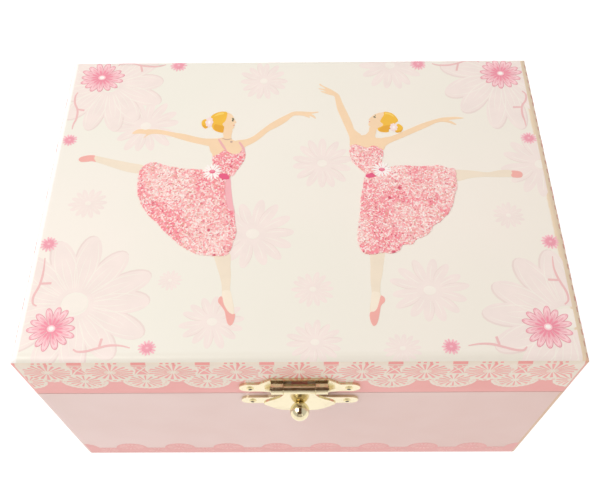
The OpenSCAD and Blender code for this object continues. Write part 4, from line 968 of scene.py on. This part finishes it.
for tag, length, place in faces():
    half_len = length / 2 - 1.4
    n_med = int(round(length / PITCH))
    pitch = length / n_med
    lace, hole = plate("lace", "lid", place, "lid_" + tag), plate("lace_hole", "lid", place, "lid_" + tag)
    soft = plate("lace_soft", "lid", place, "lid_" + tag)
    T1, T2, T3 = 0.02, 0.036, 0.052

    def inside(pts):
        return [(max(-half_len, min(half_len, u)), z) for u, z in pts]

    zb, zs = Z_TOP - 6.4, Z_TOP - 13.0
    # scalloped lower edge with small picots
    lower = []
    steps = int(2 * half_len / 0.3)
    for i in range(steps + 1):
        u = -half_len + 2 * half_len * i / steps
        t = ((u + length / 2) / pitch) % 1.0
        d = min(t, 1 - t) * pitch                      # distance from the nearest small medallion
        z = Z_TOP - 13.2 - 5.6 * math.sqrt(max(0.0, 1 - (d / 6.6) ** 2)) if d < 6.6 else Z_TOP - 13.2 - 0.5 * (1 - abs(d - pitch / 2) / 2)
        z += 0.28 * abs(math.sin(u * math.pi / 1.35))
        lower.append((u, z))
    rolled(lace, lower + [(half_len, S_TOP), (-half_len, S_TOP)], T1)
    for c in [(-length / 2 + pitch * (i + 0.5)) for i in range(n_med)]:
        for i in range(20):
            a = 2 * math.pi * (i + 0.5) / 20
            e = abs(math.cos(a))
            rolled(hole, inside(spoke(c, zb, 6.6, 5.2, a, 0.26, 0.90 if i % 2 else 0.98, 0.12, 0.33 + 0.20 * (1 - e))), T2)
        for i in range(10):
            a = 2 * math.pi * i / 10
            soft.prism(inside(spoke(c, zb, 6.6, 5.2, a, 0.12, 0.24, 0.06, 0.12)), T2)
        for d in (-2.4, -0.8, 0.8, 2.4):
            rolled(hole, [(c + d - 0.42, S_TOP - 0.12), (c + d - 0.42, S_TOP - 0.5), (c + d + 0.42, S_TOP - 0.5), (c + d + 0.42, S_TOP - 0.12)], T2)
        for d in (-1, 1):       # small eyelets beside the lower edge
            hole.prism(disc(c + d * 2.0, Z_TOP - 12.6, 0.5, 0.28, 10), T2)
        hole.prism(disc(c, Z_TOP - 12.5, 0.6, 0.25, 10), T2)
    for c in [-length / 2 + pitch * i for i in range(n_med + 1)]:
        if abs(c) > half_len - 0.8:
            c = math.copysign(half_len - 0.1, c)
            for i in range(15):
                a = 2 * math.pi * (i + 0.5) / 15
                if math.cos(a) * c < -0.1:
                    hole.prism(spoke(c, zs, 4.4, 4.3, a, 0.26, 0.92, 0.09, 0.3), T2)
            continue
        for i in range(15):
            a = 2 * math.pi * (i + 0.5) / 15
            hole.prism(spoke(c, zs, 5.2, 4.5, a, 0.24, 0.94 if i % 2 else 0.84, 0.10, 0.33), T2)
        for i in range(13):     # a ring of eyelets along the scallop
            a = math.pi + math.pi * (i + 0.5) / 13
            soft.prism(disc(c + 5.7 * math.cos(a), zs + 0.6 + 5.1 * math.sin(a), 0.34, 0.3, 8), T2)
        rolled(hole, [(c - 2.0, S_TOP), (c - 2.0, S_TOP - 0.95), (c + 2.0, S_TOP - 0.95), (c + 2.0, S_TOP)], T2)
        rolled(hole, [(c - 2.0, S_TOP - 1.35), (c - 1.25, Z_TOP - 4.6), (c - 2.1, Z_TOP - 7.8), (c + 2.1, Z_TOP - 7.8), (c + 1.25, Z_TOP - 4.6), (c + 2.0, S_TOP - 1.35)], T2)
        for s_ in (-1, 1):
            lace.stroke([(c + s_ * 1.9, Z_TOP - 2.3), (c + s_ * 0.7, Z_TOP - 3.9), (c - s_ * 0.8, Z_TOP - 5.9), (c - s_ * 1.9, Z_TOP - 7.9)], 0.42, T3, (1, 1))
            lace.stroke([(c + s_ * 0.55, Z_TOP - 2.3), (c + s_ * 1.3, Z_TOP - 3.4)], 0.3, T3, (1, 1))
            soft.prism(disc(c + s_ * 2.5, Z_TOP - 5.4, 0.42, 0.9, 10), T2)

# ---------- lace low on the case ----------
for tag, length, place in faces():
    half_len = length / 2 - 1.4
    n_med = int(round(length / PITCH))
    pitch = length / n_med
    band, lit = plate("base_lace", "case", place, "case_" + tag), plate("base_lace_lit", "case", place, "case_" + tag)
    upper = []
    steps = int(2 * half_len / 0.3)
    for i in range(steps + 1):
        u = half_len - 2 * half_len * i / steps
        t = ((u + length / 2) / pitch) % 1.0
        d = min(t, 1 - t) * pitch                      # distance from the nearest bump
        z = 7.0 + (5.0 * math.sqrt(max(0.0, 1 - (d / 5.4) ** 2)) if d < 5.4 else 0.0) + 0.25 * abs(math.sin(u * math.pi / 1.35))
        upper.append((u, z))
    band.prism([(-half_len, 1.3), (half_len, 1.3)] + upper, 0.02)
    for c in [-length / 2 + pitch * i for i in range(1, n_med)]:
        for i in range(16):
            a = 2 * math.pi * (i + 0.5) / 16
            lit.prism(spoke(c, 8.2, 4.6, 3.0, a, 0.35, 0.92, 0.1, 0.3), 0.034)
    for c in [-length / 2 + pitch * (i + 0.5) for i in range(n_med)]:
        for i in range(12):
            a = 2 * math.pi * (i + 0.5) / 12
            lit.prism(spoke(c, 4.2, 3.4, 2.2, a, 0.35, 0.92, 0.1, 0.24), 0.034)

for p in plates.values():
    p.build()

# =====================================================================
# soft goods inside
# =====================================================================
def grid_pad(name, x0, x1, y0, y1, z0, z1, nx, ny, height, mat, body, edge_r=1.2):
    """closed pad: flat underside, shaped top; height(u, v) is 0..1 over the pad"""
    verts, faces_ = [], []
    for j in range(ny + 1):
        for i in range(nx + 1):
            u, v = i / nx, j / ny
            x, y = x0 + (x1 - x0) * u, y0 + (y1 - y0) * v
            d = min(x - x0, x1 - x, y - y0, y1 - y)
            roll = math.sqrt(max(0.0, 1 - (1 - min(1, d / edge_r)) ** 2))
            z = z0 + (z1 - z0) * (0.12 + 0.88 * roll * height(x, y))
            verts.append((x * MM, y * MM, z * MM))
    top = len(verts)
    for j in range(ny + 1):
        for i in range(nx + 1):
            x, y = x0 + (x1 - x0) * i / nx, y0 + (y1 - y0) * j / ny
            verts.append((x * MM, y * MM, z0 * MM))
    w = nx + 1
    for j in range(ny):
        for i in range(nx):
            a = j * w + i
            faces_.append((a, a + 1, a + w + 1, a + w))
            b = top + a
            faces_.append((b, b + w, b + w + 1, b + 1))
    for i in range(nx):
        faces_.append((i, top + i, top + i + 1, i + 1))
        k = ny * w + i
        faces_.append((k, k + 1, top + k + 1, top + k))
    for j in range(ny):
        a = j * w
        faces_.append((a, a + w, top + a + w, top + a))
        b = j * w + nx
        faces_.append((b, top + b, top + b + w, b + w))
    o = new_obj(name, verts, faces_, mat, True)
    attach(o, body)
    return o


def quilt(x, y):
    """diamond quilting with stitched valleys and a little pucker"""
    s = 11.0
    a, b = (x + y) / s, (x - y) / s
    da, db = abs(a - round(a)), abs(b - round(b))
    d = min(da, db) * 2
    h = 1 - (1 - min(1, d / 0.9)) ** 2.2 * 0.85
    h += 0.035 * noise.noise(Vector((x * 0.55, y * 0.55, 3.0)))
    h += 0.03 * math.sin((x + y) * 2.4) * (1 - min(1, d * 2.5))
    return max(0.05, min(1.0, h))


lo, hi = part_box("floor_pad")
k = 1000
pad = grid_pad("pad_floor", lo[0] * k + 0.15, 22.0, lo[1] * k + 0.15, hi[1] * k - 0.15, lo[2] * k + 0.02, hi[2] * k + 0.6, 230, 190, quilt, M["quilted_satin"], "case")
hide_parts("floor_pad")

# ring rolls: velvet rolled over foam, tucked in at both ends
lo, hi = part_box("ring_rolls")
x0, x1 = lo[0] * k, hi[0] * k
y0, y1 = lo[1] * k, hi[1] * k
n_roll = 5
step = (y1 - y0 - 14.8) / (n_roll - 1) if n_roll > 1 else 0
verts, faces_ = [], []
R = 7.35
nu, na = 64, 44
for r_i in range(n_roll):
    yc = y0 + 7.4 + step * r_i
    zc = lo[2] * k + 6.8
    base = len(verts)
    for i in range(nu + 1):
        u = i / nu
        x = x0 + (x1 - x0) * u
        e = min(u, 1 - u) * (x1 - x0)
        rr = R * (0.90 + 0.10 * math.sqrt(max(0.0, 1 - (1 - min(1, e / 2.2)) ** 2)))
        for a_i in range(na):
            a = 2 * math.pi * a_i / na
            w = 1 + 0.012 * noise.noise(Vector((x * 0.22, math.cos(a) * 1.6 + r_i * 7, math.sin(a) * 1.6))) + 0.010 * math.cos(a * 14 + r_i) * max(0, 1 - e / 4.5)
            yy = rr * w * math.cos(a)
            zz = rr * w * math.sin(a)
            if zz < -6.5:
                zz = -6.5 + (zz + 6.5) * 0.15
            verts.append((x * MM, (yc + yy) * MM, (zc + zz) * MM))
    for i in range(nu):
        for a_i in range(na):
            p, q = base + i * na + a_i, base + i * na + (a_i + 1) % na
            faces_.append((p, q, q + na, p + na))
    for end, i in ((0, 0), (1, nu)):
        x = x0 if end == 0 else x1
        rings = [base + i * na + a_i for a_i in range(na)]
        sgn = 1 if end == 0 else -1
        prev = rings
        for depth, f in ((0.25, 0.82), (0.1, 0.5), (0.9, 0.16)):
            ring = []
            for a_i in range(na):
                v = Vector(verts[rings[a_i]])
                yy = v.y / MM - yc
                zz = v.z / MM - zc
                fold = 1 + 0.05 * math.cos(a_i / na * 2 * math.pi * 11)
                ring.append(len(verts))
                verts.append(((x + sgn * depth) * MM, (yc + yy * f * fold) * MM, (zc + zz * f * fold) * MM))
            for a_i in range(na):
                p, q = prev[a_i], prev[(a_i + 1) % na]
                p2, q2 = ring[a_i], ring[(a_i + 1) % na]
                faces_.append((p, p2, q2, q) if end == 0 else (p, q, q2, p2))
            prev = ring
        faces_.append(tuple(prev) if end == 1 else tuple(prev[::-1]))
rolls = new_obj("rolls_velvet", verts, faces_, M["velvet"], True)
bm = bmesh.new(); bm.from_mesh(rolls.data); bmesh.ops.recalc_face_normals(bm, faces=bm.faces); bm.to_mesh(rolls.data); bm.free()
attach(rolls, "case")
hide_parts("ring_rolls")

# a round tube along a list of points
def tube(name, pts, r, mat, body, seg=10, closed=False, flat=1.0):
    vs, fs = [], []
    n = len(pts)
    P = [Vector(p) for p in pts]
    up = Vector((0, 0, 1))
    for i in range(n):
        a = P[i - 1] if (i > 0 or closed) else P[i]
        b = P[(i + 1) % n] if (i < n - 1 or closed) else P[i]
        t = (b - a).normalized()
        s = t.cross(up)
        if s.length < 1e-6:
            s = Vector((1, 0, 0))
        s.normalize()
        w = s.cross(t).normalized()
        rr = r(i / (n - 1)) if callable(r) else r
        for j in range(seg):
            q = 2 * math.pi * j / seg
            vs.append(P[i] + s * rr * math.cos(q) + w * rr * flat * math.sin(q))
    m = n if closed else n - 1
    for i in range(m):
        for j in range(seg):
            a, b = i * seg + j, i * seg + (j + 1) % seg
            c, d = ((i + 1) % n) * seg + (j + 1) % seg, ((i + 1) % n) * seg + j
            fs.append((a, d, c, b))
    if not closed:
        fs.append(tuple(range(seg)))
        fs.append(tuple(range((n - 1) * seg, n * seg))[::-1])
    o = new_obj(name, [v * MM for v in vs], fs, mat, True)
    bm = bmesh.new(); bm.from_mesh(o.data); bmesh.ops.recalc_face_normals(bm, faces=bm.faces); bm.to_mesh(o.data); bm.free()
    if body:
        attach(o, body)
    return o


# twisted cord trim along the front edge of the music deck
cord = []
M["trim"] = satin("trim_cord", srgb("F7D2D8"), srgb("E9A9B6"), 1800)
for s_ in (0, 1):
    pts = []
    for i in range(481):
        x = -71.2 + 142.4 * i / 480
        a = x * 2.2 + s_ * math.pi
        pts.append((x, 26.0 - 0.1 + 0.28 * math.cos(a), 53.6 + 0.30 + 0.28 * math.sin(a)))
    tube("trim_deck_%d" % s_, pts, 0.36, M["trim"], "case", 8)

# =====================================================================
# dancer
# =====================================================================
AX = Vector((0, -math.sin(LEAN), math.cos(LEAN)))      # figure's own up
BK = Vector((0, math.cos(LEAN), math.sin(LEAN)))       # figure's back
ORG = Vector((0, CY, PZ))


def fig(x, y, z):
    """figure coordinates as in part.scad (z measured like there, 4.8 lower on the pin)"""
    return ORG + Vector((1, 0, 0)) * x + BK * y + AX * (z - 4.8)


def blob_tube(pts, seg=20):
    """closed body through (x, y, z, rx, ry) sections in figure coordinates"""
    vs, fs = [], []
    n = len(pts)
    for i, (x, y, z, rx, ry) in enumerate(pts):
        a = Vector(pts[max(0, i - 1)][:3])
        b = Vector(pts[min(n - 1, i + 1)][:3])
        t = (b - a).normalized()
        s = Vector((0, 1, 0)).cross(t)
        if s.length < 0.2:
            s = Vector((1, 0, 0))
        s.normalize()
        w = t.cross(s).normalized()
        for j in range(seg):
            q = 2 * math.pi * j / seg
            vs.append(Vector((x, y, z)) + s * rx * math.cos(q) + w * ry * math.sin(q))
    for i in range(n - 1):
        for j in range(seg):
            fs.append((i * seg + j, i * seg + (j + 1) % seg, (i + 1) * seg + (j + 1) % seg, (i + 1) * seg + j))
    fs.append(tuple(range(seg))[::-1])
    fs.append(tuple(range((n - 1) * seg, n * seg)))
    return vs, fs


def smooth_join(name, parts, mat, voxel=0.22, smooth=6):
    vs, fs = [], []
    for v, f in parts:
        b = len(vs)
        vs += v
        fs += [tuple(b + i for i in face) for face in f]
    o = new_obj(name, [fig(*v) * MM for v in vs], fs, mat, True)
    bm = bmesh.new(); bm.from_mesh(o.data); bmesh.ops.recalc_face_normals(bm, faces=bm.faces); bm.to_mesh(o.data); bm.free()
    r = o.modifiers.new("remesh", "REMESH")
    r.mode = "VOXEL"
    r.voxel_size = voxel * MM
    c = o.modifiers.new("soft", "CORRECTIVE_SMOOTH") if False else o.modifiers.new("soft", "SMOOTH")
    c.factor = 0.5
    c.iterations = smooth
    bpy.context.view_layer.update()
    dg = bpy.context.evaluated_depsgraph_get()
    me = bpy.data.meshes.new_from_object(o.evaluated_get(dg))
    o.modifiers.clear()
    old = o.data
    o.data = me
    bpy.data.meshes.remove(old)
    o.data.materials.clear()
    o.data.materials.append(mat)
    o.data.polygons.foreach_set("use_smooth", [True] * len(o.data.polygons))
    return o


def ball(c, r, n=16, sx=1, sy=1, sz=1):
    vs, fs = [], []
    for i in range(1, n):
        th = math.pi * i / n
        for j in range(2 * n):
            ph = math.pi * j / n
            vs.append(Vector((c[0] + r * sx * math.sin(th) * math.cos(ph), c[1] + r * sy * math.sin(th) * math.sin(ph), c[2] + r * sz * math.cos(th))))
    m = 2 * n
    for i in range(n - 2):
        for j in range(m):
            fs.append((i * m + j, (i + 1) * m + j, (i + 1) * m + (j + 1) % m, i * m + (j + 1) % m))
    top, bot = len(vs), len(vs) + 1
    vs += [Vector((c[0], c[1], c[2] + r * sz)), Vector((c[0], c[1], c[2] - r * sz))]
    for j in range(m):
        fs.append((top, j, (j + 1) % m))
        fs.append((bot, (n - 2) * m + (j + 1) % m, (n - 2) * m + j))
    return vs, fs


def figure():
    parts = []
    # head, neck, shoulders, arms: skin
    parts.append(ball((0, 0, 47.6), 2.9, 16, 0.86, 0.98, 1.08))
    parts.append(ball((0, -2.75, 47.4), 0.42, 8, 0.7, 1, 1))            # nose
    parts.append(ball((0, -2.1, 45.4), 0.9, 8, 1.1, 0.9, 0.8))         # chin
    for s in (-1, 1):
        parts.append(ball((s * 2.45, 0.1, 47.4), 0.55, 8, 0.5, 0.8, 1.1))   # ear
        parts.append(ball((s * 1.2, -1.95, 46.9), 0.85, 8))                 # cheek
    parts.append(blob_tube([(0, 0.2, 41.8, 1.5, 1.2), (0, 0.2, 43, 1.0, 1.0), (0, 0.1, 44.4, 0.95, 0.95), (0, 0, 46, 1.2, 1.2)]))
    parts.append(blob_tube([(0, 0.1, 38.4, 2.9, 1.9), (0, 0, 39.8, 3.1, 2.0), (0, 0.1, 41, 3.2, 1.7), (0, 0.2, 41.9, 2.4, 1.3), (0, 0.2, 42.5, 1.2, 1.0)]))
    for s in (-1, 1):
        parts.append(ball((s * 2.9, 0, 41.0), 1.05, 10))
        parts.append(blob_tube([(s * 2.7, 0, 40.9, 0.95, 0.95), (s * 4.3, -0.2, 42.9, 0.92, 0.9), (s * 6.0, -0.5, 45.4, 0.78, 0.76), (s * 6.55, -0.6, 46.6, 0.76, 0.74),
                                (s * 6.4, -0.8, 48.6, 0.74, 0.72), (s * 5.7, -1, 51.3, 0.6, 0.58), (s * 4.8, -1, 52.9, 0.5, 0.46), (s * 4.0, -1, 53.9, 0.55, 0.36), (s * 3.0, -1, 54.9, 0.5, 0.3), (s * 1.9, -1, 55.9, 0.28, 0.2), (s * 1.5, -1, 56.2, 0.12, 0.1)], 14))
    skin = smooth_join("dancer_skin", parts, plastic("doll_skin", srgb("F7D6C2"), 0.34, 0.35), 0.17, 5)
    # bodice
    b = blob_tube([(0, 0, 32.6, 2.35, 1.9), (0, 0, 33.6, 2.15, 1.7), (0, 0, 34.8, 2.15, 1.7), (0, -0.1, 36.6, 2.7, 2.1), (0, -0.35, 38.2, 3.1, 2.5), (0, -0.3, 39.3, 3.15, 2.45), (0, 0, 39.9, 3.0, 1.95)], 28)
    for s in (-1, 1):
        v, f = ball((s * 1.35, -1.55, 38.3), 1.25, 12)
        b = (b[0] + v, b[1] + [tuple(len(b[0]) + i for i in face) for face in f])
    bodice = smooth_join("dancer_bodice", [b], simple("doll_bodice", srgb("F29DB1"), 0.42, 0, 0.08, 500, 0.3, 2600, 0.0001, 0.2, 0.3), 0.17, 4)
    # legs in ivory tights
    parts = []
    parts.append(blob_tube([(0, 0, 33, 2.3, 1.8), (0, 0.1, 31.4, 2.6, 2.1), (0.1, 0.1, 30, 2.2, 2.1), (0, 0, 27.5, 1.95, 1.95), (0, 0, 24, 1.55, 1.6), (0, -0.1, 22.6, 1.45, 1.5), (0, 0.15, 20.5, 1.5, 1.6), (0, 0.1, 17.5, 1.15, 1.25), (0, 0, 15.2, 0.88, 0.95), (0, 0, 13.8, 0.85, 0.9)], 20))
    parts.append(blob_tube([(0.6, 0, 31, 2.0, 1.9), (2.6, 0.1, 29.6, 1.85, 1.8), (4.6, 0.3, 28, 1.6, 1.6), (6.3, 0.4, 26.6, 1.42, 1.42), (6.9, 0.4, 25.9, 1.2, 1.3)], 18))
    parts.append(ball((6.5, 0.4, 26.3), 1.4, 12))
    parts.append(blob_tube([(6.8, 0.4, 26.6, 1.2, 1.2), (5.8, 0.35, 25.4, 1.3, 1.35), (4.6, 0.3, 24.0, 1.2, 1.25), (3.2, 0.2, 22.5, 0.9, 0.95), (2.2, 0.2, 21.4, 0.75, 0.8)], 16))
    legs = smooth_join("dancer_tights", parts, simple("doll_tights", srgb("F6E3D6"), 0.5, 0, 0.04, 400, 0.2, 3200, 0.00008, 0.05, 0.35), 0.18, 5)
    # shoes
    parts = [blob_tube([(0, 0, 14.6, 0.98, 1.0), (0, 0, 13.6, 1.05, 1.12), (0, -0.1, 12.2, 1.12, 1.2), (0, -0.1, 11.2, 0.95, 1.0), (0, 0, 10.6, 0.98, 1.0), (0, 0, 10.32, 0.92, 0.95)], 20),
             blob_tube([(2.35, 0.2, 21.6, 0.88, 0.9), (1.9, 0.15, 21.0, 0.9, 0.9), (1.2, 0.0, 20.2, 0.75, 0.7), (0.9, -0.4, 19.3, 0.6, 0.55), (0.8, -0.6, 18.6, 0.42, 0.4)], 14)]
    shoes = smooth_join("dancer_shoes", parts, satin("doll_shoes", srgb("EE9BAE"), srgb("DC7F95"), 4000), 0.15, 4)
    # hair: cap and bun
    parts = [ball((0, 0.55, 48.35), 2.95, 16, 0.93, 0.93, 0.92), ball((0, 1.9, 50.2), 1.45, 12, 1, 1, 0.85)]
    hair = smooth_join("dancer_hair", parts, simple("doll_hair", srgb("B0713A"), 0.38, 0, 0.18, 60, 0.4, 900, 0.0003, 0.2), 0.17, 4)
    me = hair.data
    inv_a, inv_b = AX, BK
    for v in me.vertices:       # keep the hair off the face, comb strands into it
        p = v.co / MM - ORG
        z, y, x = p.dot(AX) + 4.8, p.dot(BK), p.x
        ang = math.atan2(x, y)
        groove = 0.07 * math.sin(ang * 16 + z * 1.3)
        d = Vector((x, 0, 0)) + BK * (y - 0.3) + AX * (z - 48.2)
        shrink = 0.0
        if z < 50.0 and y < -0.3:
            front = min(1.0, (-0.3 - y) / 1.2) * min(1.0, (50.0 - z) / 1.2)
            shrink = 0.9 * front
        v.co += (d.normalized() * (groove - shrink)) * MM
    # hair tie, eyes, lips, brows
    tie = tube("dancer_hair_tie", [tuple(fig(1.35 * math.cos(a), 1.85 + 1.35 * math.sin(a), 49.25)) for a in [2 * math.pi * i / 36 for i in range(36)]], 0.24, simple("doll_tie", srgb("F4A9BC"), 0.4), None, 8, True)
    pieces = [skin, bodice, legs, shoes, hair, tie]
    dark = simple("doll_eye", srgb("4A3A34"), 0.3, 0, 0.02, 100, 0.0, 500, 0.0001, 0.5)
    lips = simple("doll_lips", srgb("D9606C"), 0.35, 0, 0.02, 100, 0.0, 500, 0.0001, 0.3)
    def dab(name, c, r, mat, sx, sy, sz):
        v, f = ball(c, r, 8, sx, sy, sz)
        o = new_obj(name, [fig(*p) * MM for p in v], f, mat, True)
        pieces.append(o)
    for s, side in ((-1, "l"), (1, "r")):
        dab("dancer_eye_" + side, (s * 0.95, -2.62, 47.75), 0.3, dark, 1.0, 0.5, 0.62)
        dab("dancer_brow_" + side, (s * 1.0, -2.55, 48.55), 0.34, simple("doll_hair2", srgb("8C5628"), 0.5), 1.1, 0.5, 0.22)
    dab("dancer_lips", (0, -2.86, 46.25), 0.34, lips, 1.15, 0.5, 0.5)
    # waist ribbon
    rose = satin("doll_ribbon", srgb("E4708E"), srgb("CF5575"), 4000)
    pieces.append(tube("dancer_waist_ribbon", [tuple(fig(2.28 * math.cos(a), 1.82 * math.sin(a), 33.7)) for a in [2 * math.pi * i / 48 for i in range(48)]], 0.3, rose, None, 8, True))
    for o in pieces:
        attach(o, "dancer")
    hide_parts("dancer_figure")


figure()


def tutu():
    """four gathered layers of net, each a ruffled disc with a little thickness"""
    layers = [(11.6, 30.15, 0.85, 26, 0.0), (11.7, 30.9, 0.8, 24, 0.7), (11.2, 31.6, 0.7, 22, 1.3), (9.6, 32.25, 0.6, 20, 2.1)]
    for li, (ro, z0, amp, folds, ph) in enumerate(layers):
        nr, na_ = 14, folds * 14
        vs, fs = [], []
        ri = 2.2
        for i in range(nr + 1):
            t = i / nr
            r = ri + (ro - ri) * t
            for j in range(na_):
                a = 2 * math.pi * j / na_
                ruff = math.sin(a * folds + ph + 0.9 * math.sin(3 * a + li)) * amp * (0.12 + 0.88 * t ** 1.4)
                ruff += 0.25 * t * noise.noise(Vector((math.cos(a) * 3, math.sin(a) * 3, li * 5.0)))
                z = z0 + 0.9 * (1 - t) ** 1.5 - 0.35 * t + ruff * 0.55
                vs.append(fig(r * math.cos(a), r * math.sin(a), z))
        for i in range(nr):
            for j in range(na_):
                p, q = i * na_ + j, i * na_ + (j + 1) % na_
                fs.append((p, p + na_, q + na_, q))
        o = new_obj("dancer_tutu_net_%d" % li, [v * MM for v in vs], fs, M["tulle"] if li < 3 else tulle_mat("tulle_top", srgb("FBD3DE"), 0.5), True)
        sol = o.modifiers.new("cloth", "SOLIDIFY")
        sol.thickness = 0.05 * MM
        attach(o, "dancer")
    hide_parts("dancer_tutu")
    # sequins on the top layer
    vs, fs = [], []
    rr = random.Random(5)
    for q in range(60):
        a, r = rr.uniform(0, 2 * math.pi), rr.uniform(4.5, 9.0)
        c = (r * math.cos(a), r * math.sin(a), 32.55 + 0.5 * (1 - (r - 2.2) / 7.4))
        v, f = ball(c, 0.22, 5, 1, 1, 0.45)
        b = len(vs)
        vs += v
        fs += [tuple(b + i for i in face) for face in f]
    o = new_obj("dancer_sequins", [fig(*v) * MM for v in vs], fs, simple("sequin", srgb("FCE9F0"), 0.12, 0.6, 0.05, 300, 0.05, 900, 0.0001, 0.5), True)
    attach(o, "dancer")


tutu()


def spring():
    t = 4.4
    arc = t / math.tan(LEAN / 2)
    n, turns = 520, 8.0
    pts = []
    e = 0.4 / arc
    for i in range(n + 1):
        f = e + (LEAN - 2 * e) * i / n
        a = 2 * math.pi * turns * i / n
        c = Vector((0, CY - arc + arc * math.cos(f), SPRING_Z + arc * math.sin(f)))
        er = Vector((math.sin(a), math.cos(a) * math.cos(f), math.cos(a) * math.sin(f)))
        pts.append(c + er * 1.75)
    vs, fs = [], []
    seg = 10
    for i, p in enumerate(pts):
        a = pts[max(0, i - 1)]
        b = pts[min(n, i + 1)]
        tg = (b - a).normalized()
        f = e + (LEAN - 2 * e) * i / n
        c = Vector((0, CY - arc + arc * math.cos(f), SPRING_Z + arc * math.sin(f)))
        er = (p - c).normalized()
        w = tg.cross(er).normalized()
        er = w.cross(tg).normalized()
        for j in range(seg):
            q = 2 * math.pi * j / seg
            vs.append(p + er * 0.22 * math.cos(q) + w * 0.22 * math.sin(q))
    for i in range(n):
        for j in range(seg):
            a, b = i * seg + j, i * seg + (j + 1) % seg
            fs.append((a, b, b + seg, a + seg))
    fs.append(tuple(range(seg))[::-1])
    fs.append(tuple(range(n * seg, (n + 1) * seg)))
    o = new_obj("dancer_coil", [v * MM for v in vs], fs, M["spring_steel"], True)
    bm = bmesh.new(); bm.from_mesh(o.data); bmesh.ops.recalc_face_normals(bm, faces=bm.faces); bm.to_mesh(o.data); bm.free()
    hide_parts("dancer_spring")
    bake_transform(o)


spring()

# =====================================================================
# floor, light, camera
# =====================================================================
def stage():
    me = bpy.data.meshes.new("floor")
    s = 3.0
    me.from_pydata([(-s, -s, 0), (s, -s, 0), (s, s, 0), (-s, s, 0)], [], [(0, 1, 2, 3)])
    o = bpy.data.objects.new("floor", me)
    bpy.context.scene.collection.objects.link(o)
    t = Tree("floor_mat")
    t.set(Base_Color=t.mix(t.noise(3, 2), (0.22, 0.22, 0.22), (0.24, 0.24, 0.24)), Roughness=0.9)
    t.b.inputs["Emission Color"].default_value = (1, 1, 1, 1)
    t.b.inputs["Emission Strength"].default_value = 0.95
    me.materials.append(t.m)
    w = bpy.data.worlds.new("studio")
    bpy.context.scene.world = w
    w.use_nodes = True
    nt = w.node_tree
    bg = nt.nodes["Background"]
    tc = nt.nodes.new("ShaderNodeTexCoord")
    sp = nt.nodes.new("ShaderNodeSeparateXYZ")
    nt.links.new(tc.outputs["Generated"], sp.inputs[0])

    def rng(v, a, b, c, d):
        r = nt.nodes.new("ShaderNodeMapRange")
        nt.links.new(v, r.inputs["Value"])
        for k_, q in (("From Min", a), ("From Max", b), ("To Min", c), ("To Max", d)):
            r.inputs[k_].default_value = q
        return r.outputs[0]

    def mul(a, b):
        m = nt.nodes.new("ShaderNodeMath")
        m.operation = "MULTIPLY"
        nt.links.new(a, m.inputs[0])
        nt.links.new(b, m.inputs[1])
        return m.outputs[0]

    # a white tent open towards the front and over the camera, where the dim room shows
    ab = nt.nodes.new("ShaderNodeMath")
    ab.operation = "ABSOLUTE"
    nt.links.new(sp.outputs[0], ab.inputs[0])
    front = mul(rng(sp.outputs[1], 0.50, 0.36, 0, 1), mul(rng(sp.outputs[2], 0.02, 0.10, 0, 1), rng(ab.outputs[0], 0.46, 0.34, 0, 1)))
    add = nt.nodes.new("ShaderNodeMath")
    add.operation = "MAXIMUM"
    nt.links.new(front, add.inputs[0])
    add.inputs[1].default_value = 0.0
    mx = nt.nodes.new("ShaderNodeMix")
    mx.data_type = "RGBA"
    mx.inputs[6].default_value = (1.0, 1.0, 1.0, 1)
    mx.inputs[7].default_value = (0.13, 0.06, 0.03, 1)
    nt.links.new(add.outputs[0], mx.inputs["Factor"])
    nt.links.new(mx.outputs[2], bg.inputs[0])
    bg.inputs[1].default_value = 0.68

    def area(name, loc, target, size, power, col=(1, 1, 1)):
        l = bpy.data.lights.new(name, "AREA")
        l.shape = "RECTANGLE"
        l.size, l.size_y = size
        l.energy = power
        l.color = col
        lo_ = bpy.data.objects.new(name, l)
        bpy.context.scene.collection.objects.link(lo_)
        lo_.location = loc
        lo_.rotation_euler = (Vector(target) - Vector(loc)).to_track_quat("-Z", "Y").to_euler()
        return lo_

    area("key", (-0.45, -0.10, 0.80), (0, 0, 0.05), (0.5, 0.5), 4.75, (1, 0.985, 0.965))
    area("fill", (0.1, -0.75, 0.35), (0, 0, 0.05), (0.7, 0.4), 0.5)
    area("back", (0.1, 0.6, 0.7), (0, 0, 0.08), (0.6, 0.4), 0.5)
    bpy.context.scene.view_settings.view_transform = "Standard"
    bpy.context.scene.view_settings.look = "None"


stage()

cam_data = bpy.data.cameras.new("camera")
cam = bpy.data.objects.new("camera", cam_data)
bpy.context.scene.collection.objects.link(cam)
cam_data.sensor_width = 36
cam_data.lens = 44.33
cam_data.clip_start, cam_data.clip_end = 0.01, 10
pitch, yaw, roll = math.radians(58.97696), math.radians(-0.88067), math.radians(-1.06069)
fwd = Vector((math.sin(yaw) * math.cos(pitch), math.cos(yaw) * math.cos(pitch), -math.sin(pitch)))
right = Vector((math.cos(yaw), -math.sin(yaw), 0))
up = right.cross(fwd)
r2 = right * math.cos(roll) + up * math.sin(roll)
u2 = right * -math.sin(roll) + up * math.cos(roll)
rot = Matrix((r2, u2, -fwd)).transposed()
cam.matrix_world = Matrix.Translation(Vector((1.99, -130.83, 268.54)) * MM) @ rot.to_4x4()
bpy.context.scene.camera = cam
